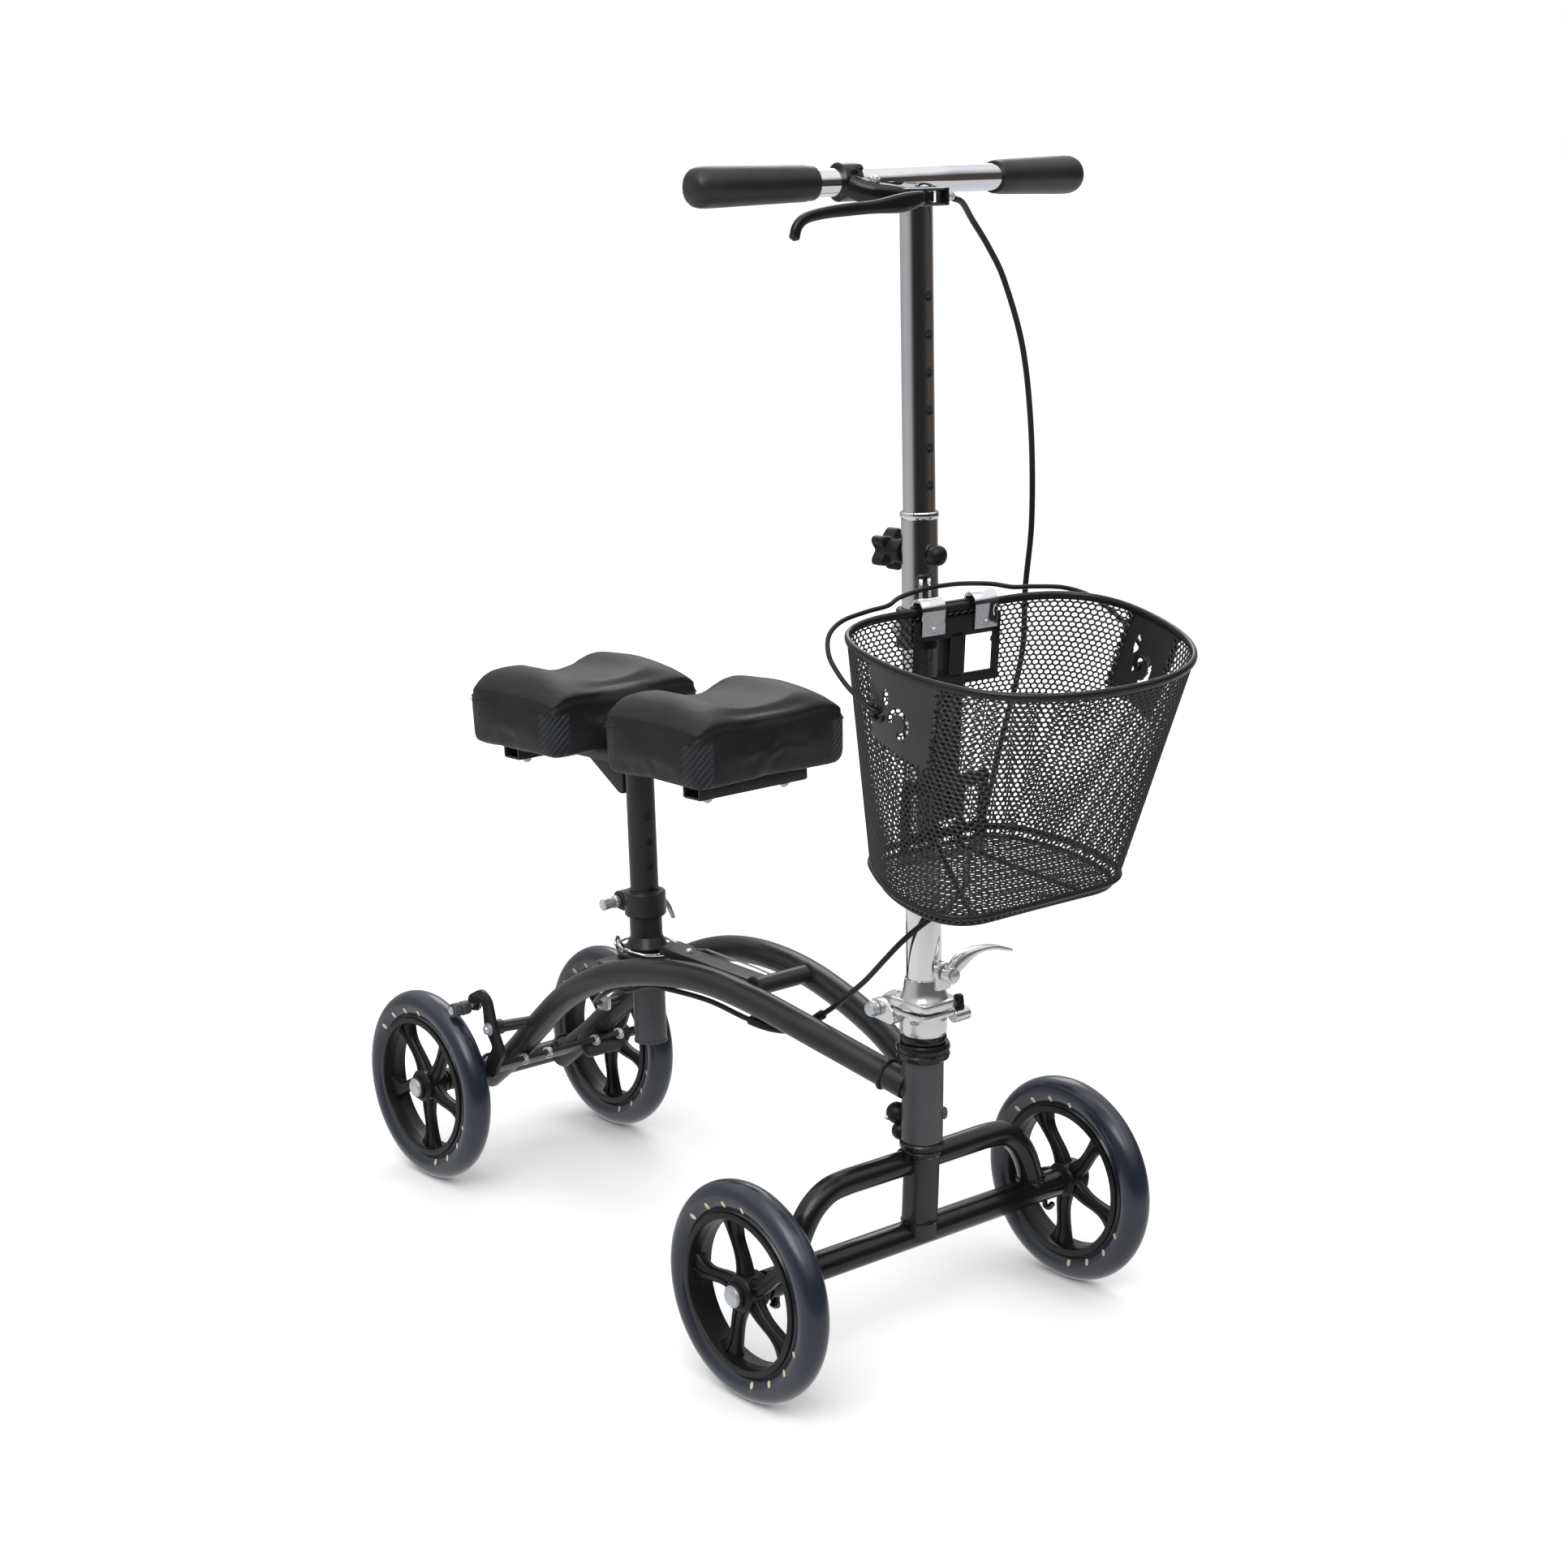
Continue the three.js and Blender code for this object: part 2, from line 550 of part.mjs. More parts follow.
function seatRail() {
  const top = PAD.low - GAP, low = SEAT_POST.high + GAP, back = SEAT_POST.radius + GAP;
  const channels = Object.values(CHANNELS).map(([y0, y1]) => box(-63, 63, y0, y1, low, top));
  const rail = box(-15, 15, CHANNELS.front[0] + 5, CHANNELS.rear[1] - 5, low, top);
  const web = polygon([[back, low - 25], [back + 6, low - 25], [66, low + 1], [back, low + 1]]);
  const gusset = sideways(web, -11, 11);
  return join(rail, ...channels, gusset);
}
add("seat_rail", seatRail(), FRAME_BLACK, seat);

// a saddle in section: two crests either side of a valley that runs fore and aft
function pad(centre) {
  const { half, length, low, edge, crest, valley, crestAt } = PAD, shape = new THREE.Shape();
  const side = half - 4, top = [[half, edge - 9], [half - 8, edge + 3], [crestAt, crest], [0, valley],
    [-crestAt, crest], [8 - half, edge + 3], [-half, edge - 9]];
  shape.moveTo(-side, low);
  shape.lineTo(side, low);
  shape.lineTo(half, low + 6);
  shape.lineTo(...top[0]);
  shape.splineThru(top.slice(1).map(([x, z]) => new THREE.Vector2(x, z)));
  shape.lineTo(-half, low + 6);
  const block = new THREE.ExtrudeGeometry(shape, { depth: length, bevelEnabled: false, curveSegments: 4 });
  return block.rotateX(Math.PI / 2).translate(0, centre + length / 2, 0);
}
add("front_pad", pad(PAD_CENTRES.front), VINYL, seat);
add("rear_pad", pad(PAD_CENTRES.rear), VINYL, seat);

// ---- fold joint: a hinge at the back and a latch lever at the front ----
const hingeBarrel = (x0, x1, radius) =>
  rod(radius, vec(x0, FOLD_HINGE.y, FOLD_HINGE.z), vec(x1, FOLD_HINGE.y, FOLD_HINGE.z), 20);
const FOLD_BARREL = 8.5;
const KNUCKLE = 11;

function foldBase() {
  const low = upperCupTop + 9.8, top = COLUMN_FOOT.z - 1.2;
  const block = raised(roundedRect(44, 46, 8), low, top).translate(0, STEER_Y, 0);
  const lug = box(-9, 9, STEER_Y - 42, STEER_Y - 20, low + 6, top - 3);
  const ears = [-1, 1].flatMap((sign) => {
    const [x0, x1] = [sign * (KNUCKLE + GAP), sign * 21].sort((a, b) => a - b);
    return [hingeBarrel(x0, x1, FOLD_BARREL), box(x0, x1, STEER_Y + 15, FOLD_HINGE.y, low + 5, FOLD_HINGE.z)];
  });
  const boltY = STEER_Y - 19, boltZ = top - 7;
  const bolt = rod(6, vec(18, boltY, boltZ), vec(33, boltY, boltZ), 14);
  const bores = [hingeBarrel(-30, 30, 3 + GAP), rod(STEERER_RADIUS + GAP, steererFoot,
    vec(0, STEER_Y, riserTop + GAP), 24)];
  const knuckleRoom = hingeBarrel(-KNUCKLE - GAP, KNUCKLE + GAP, FOLD_BARREL + 2);
  return cut(join(cut(block, knuckleRoom), lug, ...ears, bolt), ...bores);
}

function foldPin() {
  const head = (x0, x1) => hingeBarrel(x0, x1, 7);
  return join(hingeBarrel(-24, 24, 3), head(-31, -21 - GAP), head(21 + GAP, 26));
}

function foldClamp() {
  const bore = ring(0, LOWER_COLUMN.radius + GAP, 5, 60, 32);
  const collar = turned([[0, 2], [24, 2], [20.5, 10], [17.6, 18], [17, 26], [0, 26], [0, 2]], 24);
  const plate = raised(roundedRect(44, 50, 9), 0.4, 9);
  const placed = moved(join(collar, plate), 0, COLUMN_FOOT.y, COLUMN_FOOT.z, -COLUMN_LEAN);
  const knuckle = hingeBarrel(-KNUCKLE, KNUCKLE, FOLD_BARREL);
  const web = box(-KNUCKLE, KNUCKLE, STEER_Y + 23.6, FOLD_HINGE.y, FOLD_HINGE.z + 1, FOLD_HINGE.z + 15);
  const bores = [hingeBarrel(-30, 30, 3 + GAP), moved(bore, 0, COLUMN_FOOT.y, COLUMN_FOOT.z, -COLUMN_LEAN)];
  const lugFront = LATCH.y + 10.5 + GAP;
  const lug = box(LATCH.x - 8, LATCH.x + 8, lugFront, STEER_Y - 5, LATCH.z - 14, LATCH.z + 8);
  const pin = rod(2.5, latchAt(LATCH.y - 2), latchAt(lugFront + 2), 10);
  const head = rod(6, latchAt(LATCH.y - GAP - 3.4), latchAt(LATCH.y - GAP), 6);
  return join(cut(join(placed, knuckle, web, lug), ...bores), pin, head);
}

// the quick-release lever turns about a pin that points forward, in front of the column
const LATCH = { x: 5, y: -331, z: 337 };
const latchAt = (y) => vec(LATCH.x, y, LATCH.z);

function foldLever() {
  const { x, y, z } = LATCH, middle = y + 5;
  const cam = rod(7.4, latchAt(y), latchAt(y + 10.5), 16);
  const curve = through([[x, middle, z], [x + 11, middle, z + 9], [x + 27, middle, z + 15],
    [x + 48, middle, z + 14.5], [x + 70, middle, z + 8]]);
  const flat = new THREE.Shape();
  flat.absellipse(0, 0, 3.4, 4.8, 0, 2 * Math.PI);
  const blade = new THREE.ExtrudeGeometry(flat,
    { steps: 12, extrudePath: curve, bevelEnabled: false, curveSegments: 4 });
  return cut(join(cam, blade), rod(2.5 + GAP, latchAt(y - 5), latchAt(y + 15), 10));
}

add("fold_base", foldBase(), CAST_SILVER);
add("fold_pin", foldPin(), ZINC);
add("fold_clamp", foldClamp(), CAST_SILVER);
add("fold_lever", foldLever(), CAST_SILVER);

// ---- column ----
function lowerColumn() {
  const { radius, bore, low, high } = LOWER_COLUMN, lip = 3;
  const tube = turned([[bore, low], [radius, low], [radius, high - lip], [radius + 0.8, high - lip],
    [radius + 0.8, high], [bore, high], [bore, low]]);
  const knobHole = rod(3.4, vec(0, 5, KNOB_HEIGHT), vec(0, 30, KNOB_HEIGHT), 12);
  return cut(tube, knobHole);
}

// the half of the bar on one side, from its middle outward
function barPoint(sign, along) {
  const { straight, sweep, drop } = BAR, beyond = Math.max(0, along - straight);
  return vec(sign * along, sweep * beyond, BAR_HEIGHT - drop * beyond);
}

function barCurve() {
  const { half, straight } = BAR, path = new THREE.CurvePath();
  const bendFrom = straight * 2.4;
  path.add(new THREE.LineCurve3(barPoint(-1, half), barPoint(-1, bendFrom)));
  const middle = vec(0, 0, BAR_HEIGHT);
  path.add(new THREE.QuadraticBezierCurve3(barPoint(-1, bendFrom), middle, barPoint(1, bendFrom)));
  path.add(new THREE.LineCurve3(barPoint(1, bendFrom), barPoint(1, half)));
  return path;
}

function upperColumn() {
  const { radius, bore, low } = UPPER_COLUMN;
  const tube = ring(bore, radius, low, BAR_HEIGHT, 20);
  const holes = [];
  for (let i = 0; i < 8; i++) {
    const s = KNOB_HEIGHT - 4 + HOLE_PITCH * i;
    holes.push(rod(HOLE_RADIUS, vec(0, -bore + 3, s), vec(0, -30, s), 8));
  }
  return cut(tube, pipe(BAR.radius + GAP, barCurve(), 12, 16), ...holes);
}

function grip(sign) {
  const from = barPoint(sign, GRIP.inner), to = barPoint(sign, GRIP.outer);
  const length = to.distanceTo(from);
  const profile = [[0, 0], [13, 0], [14.4, 3], [14.8, 40], [15.8, 80], [16, length - 9], [14, length - 2.5],
    [9, length], [0, length]];
  const body = turned(profile, 16);
  const turn = new THREE.Quaternion().setFromUnitVectors(vec(0, 0, 1), to.clone().sub(from).normalize());
  const placed = body.applyQuaternion(turn).translate(from.x, from.y, from.z);
  return cut(placed, pipe(BAR.radius + GAP, barCurve(), 12, 16));
}

add("lower_column", lowerColumn(), CHROME, column);
add("upper_column", upperColumn(), CHROME, column);
add("handlebar", pipe(BAR.radius, barCurve(), 12, 16), CHROME, column);
add("grip_right", grip(-1), GRIP_FOAM, column);
add("grip_left", grip(1), GRIP_FOAM, column);

// a five-lobed knob on a screw, behind the column
function starKnob() {
  const lobes = 5, points = [];
  for (let i = 0; i < lobes * 8; i++) {
    const a = (2 * Math.PI * i) / (lobes * 8);
    const r = 15 + 3.6 * Math.cos(lobes * a);
    points.push([r * Math.cos(a), r * Math.sin(a)]);
  }
  const head = raised(polygon(points), 29, 43);
  const neck = ring(0, 10, 17.2, 30, 20);
  const screw = ring(0, 3, 14.2, 20, 12);
  return join(head, neck, screw).rotateX(-Math.PI / 2).translate(0, 0, KNOB_HEIGHT);
}
add("star_knob", starKnob(), BLACK_PLASTIC, column);

function knobCap() {
  const front = LOWER_COLUMN.radius + GAP;
  const dome = turned([[0, front], [7, front], [8.6, front + 3], [8.2, front + 8], [5, front + 11.5],
    [0, front + 12.6]], 20);
  return dome.rotateX(Math.PI / 2).translate(0, 0, KNOB_HEIGHT);
}
add("knob_cap", cut(knobCap(), ring(0, LOWER_COLUMN.radius + GAP, KNOB_HEIGHT - 20, KNOB_HEIGHT + 20)),
  BLACK_PLASTIC, column);

// ---- hand brake, in front of the right half of the bar ----
const LEVER_PIVOT = { x: -22, y: -33, s: BAR_HEIGHT - 13 };
const pivotAt = (rise) => vec(LEVER_PIVOT.x, LEVER_PIVOT.y, LEVER_PIVOT.s + rise);

function brakePerch() {
  const { x, y, s } = LEVER_PIVOT, tip = vec(-7.6, -38.3, s), elbow = vec(-58, -18, s + 3);
  const clamp = rod(15.4, barPoint(-1, 60), barPoint(-1, 77), 20);
  const body = rod(8.5, vec(-68, -3, s + 8), elbow, 12);
  const arm = rod(7.5, elbow, tip, 12);
  const room = rod(13, pivotAt(-4.3), pivotAt(4.3), 16);
  const mouth = box(x - 40, x + 13, y - 20, y + 2, s - 4.3, s + 4.3);
  const pin = rod(2.4, pivotAt(-5), pivotAt(5), 10);
  const bore = pipe(BAR.radius + GAP, barCurve(), 12, 16);
  return cut(join(cut(join(body, arm), room, mouth), clamp, pin), bore);
}

function brakeLever() {
  const { x, y, s } = LEVER_PIVOT;
  const eye = rod(7.6, pivotAt(-4), pivotAt(4), 16);
  const curve = through([
    [x, y, s],
    [-35, -43, s],
    [-58, -46, s - 3],
    [-108, -43, s - 6.5],
    [-146, -41, s - 10],
    [-159, -40, s - 15],
    [-163, -39.5, s - 26],
  ]);
  const flat = new THREE.Shape();
  flat.absellipse(0, 0, 3.9, 3.9, 0, 2 * Math.PI);
  const blade = new THREE.ExtrudeGeometry(flat,
    { steps: 18, extrudePath: curve, bevelEnabled: false, curveSegments: 5 });
  return cut(join(eye, blade), rod(2.4 + GAP, pivotAt(-8), pivotAt(8), 10));
}

add("brake_perch", brakePerch(), BLACK_PLASTIC, column);
add("brake_lever", brakeLever(), BLACK_PLASTIC, column);
const adjusterAt = (x) => vec(x, -39.2, LEVER_PIVOT.s);
add("cable_adjuster", rod(4.5, adjusterAt(-5), adjusterAt(2), 12), ZINC, column);

// ---- basket, hung from a bracket on the column and turned a little to the rider's right ----
const basketSwing = new THREE.Group();
basketSwing.position.set(0, BASKET_PIVOT_Y, 0);
basketSwing.rotation.z = BASKET_YAW;
const basketGroup = new THREE.Group();
basketGroup.position.set(BASKET_FOOT.x, BASKET_FOOT.y, BASKET_FOOT.z);
basketGroup.rotation.set(BASKET_PITCH, BASKET_ROLL, 0);
basketSwing.add(basketGroup);
scooter.add(basketSwing);
scooter.updateMatrixWorld(true);

// flat at the back, rounded at the front
function basketOutline(half, depth, corner) {
  const shape = new THREE.Shape();
  shape.moveTo(corner - half, 0);
  shape.lineTo(half - corner, 0);
  shape.quadraticCurveTo(half, 0, half, -corner);
  shape.bezierCurveTo(half, -depth * 0.8, half * 0.62, -depth, 0, -depth);
  shape.bezierCurveTo(-half * 0.62, -depth, -half, -depth * 0.8, -half, -corner);
  shape.quadraticCurveTo(-half, 0, corner - half, 0);
  return shape;
}

// narrows towards its floor
function tapered(inset, low, high) {
  const { half, depth, height, corner } = BASKET;
  const geometry = raised(basketOutline(half - inset, depth - 2 * inset, corner - inset), low, high, 7);
  geometry.translate(0, -inset, 0);
  const place = geometry.attributes.position;
  for (let i = 0; i < place.count; i++) {
    const t = 1 - place.getZ(i) / height;
    place.setX(i, place.getX(i) * (1 - t * (1 - BASKET_FLOOR.half / half)));
    place.setY(i, place.getY(i) * (1 - t * (1 - BASKET_FLOOR.depth / depth)));
  }
  return geometry;
}

function basket() {
  const { height, wall } = BASKET;
  return cut(tapered(0, 0, height), tapered(wall, wall, height + 4));
}
add("basket", basket(), WIRE_BLACK, basketGroup);

function backPlate() {
  const { wall, height } = BASKET;
  const plate = box(-41, 41, -wall - 3.3, -wall - 0.8, height - 66, height - 8);
  const windows = [-1, 1].map((sign) =>
    box(...[sign * 5, sign * 35].sort((a, b) => a - b), -12, 0, height - 58, height - 26));
  return cut(plate, ...windows);
}
add("basket_back_plate", backPlate(), FRAME_BLACK, basketGroup);

// a strip that goes up inside the basket, over its rim and down behind the bracket's bar
function basketHook(centre) {
  const { wall, height } = BASKET, thick = 2.4, front = -wall - 3.6 - thick, bend = 8;
  const shape = new THREE.Shape();
  shape.moveTo(front, height - 20);
  shape.lineTo(front + thick, height - 20);
  shape.lineTo(front + thick, height);
  shape.absarc(front + bend + thick, height, bend, Math.PI, 0, true);
  shape.lineTo(front + 2 * bend + thick, height - 12);
  shape.lineTo(front + 2 * bend + 2 * thick, height - 12);
  shape.lineTo(front + 2 * bend + 2 * thick, height);
  shape.absarc(front + bend + thick, height, bend + thick, 0, Math.PI, false);
  return sideways(shape, centre - 11, centre + 11, 8);
}
add("basket_hook_right", basketHook(-25), CHROME, basketGroup);
add("basket_hook_left", basketHook(25), CHROME, basketGroup);

// a wire handle, swung back onto the hooks; its legs stand outside the rim
const BAIL = { y: -92, z: BASKET.height - 42, wire: 2 };
function bail() {
  const { y, z } = BAIL, side = BASKET.half;
  const route = (sign) => [
    [sign * (side - 5), y, z],
    [sign * (side + 1), y + 4, z + 2],
    [sign * (side + 6), y + 26, z + 11],
    [sign * (side + 7), y + 46, z + 20],
    [sign * (side + 4), y + 64, z + 28],
    [sign * (side - 6), y + 81, z + 37],
    [sign * (side - 24), y + 92, z + 43],
    [sign * 80, y + 97, z + 46],
    [sign * 60, y + 99, z + 47.5],
    [sign * 44, y + 107, z + 50],
    [sign * 20, y + 112, z + 52],
  ];
  const points = [...route(-1), [0, y + 113, z + 52.5], ...route(1).reverse()];
  return pipe(BAIL.wire, through(points), 48, 6);
}
add("basket_bail", bail(), WIRE_BLACK, basketGroup);

// a bar for the hooks at the top and a rest at the bottom, carried by a clamp on the column
function basketBracket() {
  const { height } = BASKET;
  const bar = box(-40, 40, 2, 6, height - 14, height + 4);
  const spine = box(-13, 13, 2, 5, 20, height - 6);
  const rest = box(-42, 42, 0.6, 3.4, -14, 60);
  const arm = box(-12, 12, 4, 46, height - 34, height - 16);
  const held = join(bar, spine, rest, arm).applyMatrix4(basketGroup.matrixWorld);
  const clamp = ring(5, 20.5, 310, 344, 28).applyMatrix4(column.matrixWorld);
  const tube = ring(0, LOWER_COLUMN.radius + GAP, 60, 430, 28).applyMatrix4(column.matrixWorld);
  return cut(join(held, clamp), tube);
}
add("basket_bracket", basketBracket(), FRAME_BLACK);

// ---- the origin: on the ground, below the middle of the scooter's length and width ----
const bounds = new THREE.Box3().setFromObject(scooter, true);
const middle = bounds.getCenter(new THREE.Vector3());
scooter.position.set(-middle.x, -middle.y, -bounds.min.z);

export default scooter;
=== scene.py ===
import math

import bmesh
import bpy
import numpy as np
from mathutils import Matrix, Vector


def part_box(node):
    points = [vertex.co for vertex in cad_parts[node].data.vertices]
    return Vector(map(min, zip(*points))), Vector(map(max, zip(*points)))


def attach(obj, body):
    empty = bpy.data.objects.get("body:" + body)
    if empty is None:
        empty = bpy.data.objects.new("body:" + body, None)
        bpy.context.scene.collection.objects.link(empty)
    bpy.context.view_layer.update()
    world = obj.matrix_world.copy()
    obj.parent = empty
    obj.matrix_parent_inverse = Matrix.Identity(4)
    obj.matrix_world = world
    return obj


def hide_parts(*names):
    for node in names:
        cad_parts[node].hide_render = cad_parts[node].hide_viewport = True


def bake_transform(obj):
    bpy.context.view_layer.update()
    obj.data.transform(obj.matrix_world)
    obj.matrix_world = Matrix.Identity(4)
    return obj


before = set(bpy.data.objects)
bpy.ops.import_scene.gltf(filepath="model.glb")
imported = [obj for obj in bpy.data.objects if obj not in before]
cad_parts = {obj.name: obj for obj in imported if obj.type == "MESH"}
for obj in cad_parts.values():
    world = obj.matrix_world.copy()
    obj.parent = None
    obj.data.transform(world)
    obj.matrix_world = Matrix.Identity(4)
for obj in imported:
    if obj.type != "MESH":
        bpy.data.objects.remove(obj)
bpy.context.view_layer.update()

# Everything below is drawn in millimetres with y measured from mid-wheelbase, then brought to the row frame.
AXLE_LOW, AXLE_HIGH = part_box("front_axle_tube")
FRONT_AXLE_Y, REAR_AXLE_Y, AXLE_Z = -293.0, 293.0, 95.25
FRONT_WHEEL_X, REAR_WHEEL_X = 190.5, 113.5
SHIFT = (AXLE_LOW.y + AXLE_HIGH.y) * 500 - FRONT_AXLE_Y
TO_ROW = Matrix.Scale(0.001, 4) @ Matrix.Translation((0, SHIFT, 0))
STEER_Y = -299.0
COLUMN_LEAN = math.radians(1.83)
SEAT_LEAN = math.radians(2.8)
COLUMN = Matrix.Translation((0, -300, 304)) @ Matrix.Rotation(-COLUMN_LEAN, 4, "X")
SEAT = Matrix.Translation((0, 79.5, 172)) @ Matrix.Rotation(-SEAT_LEAN, 4, "X")
BASKET = (Matrix.Translation((0, -292, 0)) @ Matrix.Rotation(math.radians(-11.1), 4, "Z")
          @ Matrix.Translation((3.5, -32, 452.3)) @ Matrix.Rotation(math.radians(6.7), 4, "X")
          @ Matrix.Rotation(math.radians(-2.2), 4, "Y"))


def row(x, y, z):
    """A drawn point in the row frame, in metres."""
    return TO_ROW @ Vector((x, y, z))


# ---- camera ----
PHOTO_SIDE = 1932
FOCAL_PIXELS = 3513.8
camera = bpy.data.objects.new("camera", bpy.data.cameras.new("camera"))
bpy.context.scene.collection.objects.link(camera)
bpy.context.scene.camera = camera
camera.data.sensor_width = 36
camera.data.lens = FOCAL_PIXELS / PHOTO_SIDE * 36
camera.data.clip_end = 50
camera.location = row(-1592.9, -1972.9, 1082.7)
aim = row(100.0, 0, 424.65) - camera.location
camera.rotation_euler = aim.to_track_quat("-Z", "Y").to_euler()

# ---- world and lights ----


def area_light(name, place, target, size, watts):
    data = bpy.data.lights.new(name, "AREA")
    data.size = size
    data.energy = watts
    lamp = bpy.data.objects.new(name, data)
    bpy.context.scene.collection.objects.link(lamp)
    lamp.location = place
    lamp.rotation_euler = (Vector(target) - Vector(place)).to_track_quat("-Z", "Y").to_euler()


class Tree:
    """A node tree. Each call adds a node and returns the output that the next one reads."""

    def __init__(self, owner):
        owner.use_nodes = True
        self.nodes, self.links = owner.node_tree.nodes, owner.node_tree.links

    def feed(self, node, values):
        """Links an output to each named input, or sets its value."""
        for key, value in values.items():
            if isinstance(value, bpy.types.NodeSocket):
                self.links.new(value, node.inputs[key])
            else:
                node.inputs[key].default_value = value

    def add(self, kind, values=(), output=0, **settings):
        node = self.nodes.new("ShaderNode" + kind)
        for key, value in settings.items():
            setattr(node, key, value)
        self.feed(node, dict(values))
        return node.outputs[output]

    def math(self, operation, a, b=0.5, clamp=False):
        return self.add("Math", {0: a, 1: b}, operation=operation, use_clamp=clamp)

    def mix(self, amount, low, high):
        return self.add("Mix", {0: amount, 6: low, 7: high}, 2, data_type="RGBA")

    def ranged(self, value, start, end, low=0.0, high=1.0):
        return self.add("MapRange", {"Value": value, "From Min": start, "From Max": end, "To Min": low,
                "To Max": high})

    def noise(self, coords, scale, detail=3.0):
        values = {"Scale": scale, "Detail": detail, "Roughness": 0.55, "Vector": coords}
        return self.add("TexNoise", values, "Fac")

    def ramp(self, source, stops):
        out = self.add("ValToRGB", {0: source})
        table = out.node.color_ramp.elements
        while len(table) < len(stops):
            table.new(0.5)
        for element, (at, colour) in zip(table, stops):
            element.position = at
            element.color = (*colour, 1)
        return out

    def drifting(self, source, low, high):
        """A colour between two, by a source that seldom leaves the middle of its range."""
        return self.ramp(source, [(0.35, low), (0.65, high)])

    def bump(self, height, distance, strength=1.0, below=None):
        values = {"Distance": distance, "Strength": strength, "Height": height}
        return self.add("Bump", values if below is None else {**values, "Normal": below})


# what polished metal mirrors round the horizon, from behind the rider's right shoulder: a dark front with
# a warm tint, then pale walls
HORIZON = [(0.0, 0.30), (0.03, 0.13), (0.06, 0.035), (0.116, 0.022), (0.226, 0.022), (0.288, 0.035),
           (0.354, 0.065), (0.44, 0.06), (0.50, 0.10), (0.54, 0.35), (0.62, 0.55), (0.70, 0.42),
           (0.765, 0.38), (0.864, 0.45), (0.936, 0.43), (0.98, 0.36)]
WARM_FROM, WARM_TO, WARMTH = 0.3, 0.52, 1.18


def set_up_studio():
    """A white room, except that mirrors see the horizon above, with a light ceiling and a pale floor."""
    bpy.context.scene.view_settings.view_transform = "Standard"
    world = bpy.data.worlds.new("studio")
    bpy.context.scene.world = world
    tree = Tree(world)
    split = tree.add("SeparateXYZ", {0: tree.add("TexCoord", output="Generated")}).node.outputs
    turn = tree.math("ARCTAN2", split["Y"], split["X"])
    stops = []
    for at, level in HORIZON:
        warm = WARMTH if WARM_FROM < at < WARM_TO else 1.0
        stops.append((at, (level * warm, level, level / warm)))
    walls = tree.ramp(tree.ranged(turn, -math.pi, math.pi), stops)
    above = tree.mix(tree.ranged(split["Z"], 0.30, 0.62), walls, (1, 1, 1, 1))
    below = tree.mix(tree.ranged(split["Z"], -0.18, -0.25, 0.0, 0.8), above, (0.85, 0.85, 0.86, 1))
    mirrored = tree.add("LightPath", output="Is Glossy Ray")
    room = tree.mix(mirrored, (1, 1, 1, 1), below)
    tree.feed(tree.nodes["Background"], {"Color": room, "Strength": 1.0})
    area_light("key", (-2.2, -1.6, 3.0), (0, 0, 0.4), 2.2, 42)
    area_light("rim", (1.8, 2.2, 2.6), (0, 0, 0.4), 1.8, 26)
    sun = bpy.data.objects.new("sky", bpy.data.lights.new("sky", "SUN"))
    sun.data.energy = 0.9
    sun.data.angle = 1.2
    sun.rotation_euler = (math.radians(18), math.radians(-14), 0)
    bpy.context.scene.collection.objects.link(sun)


set_up_studio()


# ---- materials ----
def shader(name):
    made = bpy.data.materials.new(name)
    tree = Tree(made)
    return made, tree, tree.nodes["Principled BSDF"], tree.add("TexCoord", output="Object")


def finish(name, low, high, rough, metallic=0.0, patch=14.0, grain=1800.0, relief=0.00002, coat=0.0,
           coat_rough=0.1, wear=None, specular=0.26):
    """A surface whose colour drifts between low and high, whose gloss is uneven, with a fine relief."""
    made, tree, bsdf, coords = shader(name)
    colour = tree.drifting(tree.noise(coords, patch, 5.0), low, high)
    if wear:
        black, white = (0, 0, 0), (1, 1, 1)
        edge = tree.ramp(tree.add("NewGeometry", output="Pointiness"), [(0.56, black), (0.64, white)])
        speck = tree.ramp(tree.noise(coords, 240.0, 4.0), [(0.48, black), (0.62, white)])
        colour = tree.mix(tree.math("MULTIPLY", edge, speck), colour, (*wear, 1))
    gloss = tree.ranged(tree.noise(coords, patch * 5, 4.0), 0.0, 1.0, *rough)
    bump = tree.bump(tree.noise(coords, grain, 2.0), relief)
    tree.feed(bsdf, {"Base Color": colour, "Roughness": gloss, "Normal": bump, "Metallic": metallic,
                     "Coat Weight": coat, "Coat Roughness": coat_rough, "Specular IOR Level": specular})
    return made


def grey(value, tint=(1, 1, 1)):
    return tuple(value * t for t in tint)


COOL = (0.97, 0.99, 1.06)
POWDER = finish("powder_coat", grey(0.014, COOL), grey(0.020, COOL), (0.30, 0.42), grain=1500,
                relief=0.00004, coat=0.2)
PLATE = finish("powder_coat_plate", grey(0.009, COOL), grey(0.013, COOL), (0.32, 0.44), grain=1500,
               relief=0.00005, coat=0.1, wear=grey(0.10))
# grey powder coat on the head tube and brake shoes; on the lower seat tube the same grey is a painted
# reflection
GREY_AND_PAINTED_REFLECTION = finish("powder_grey_and_painted_reflection", grey(0.042, COOL), grey(0.055, COOL), (0.32, 0.42), grain=1500,
        relief=0.00005, coat=0.15)
GLOSS_BLACK = finish("gloss_enamel", grey(0.005), grey(0.008), (0.16, 0.26), grain=700, relief=0.00003,
        coat=0.3)
CHROME = finish("chrome", grey(0.80, COOL), grey(0.84), (0.04, 0.075), 1.0, patch=6, grain=60,
                relief=0.000004)
CAST = finish("cast_alloy", grey(0.70), grey(0.78), (0.13, 0.22), 0.88, patch=30, grain=160, relief=0.00002,
              specular=0.6)
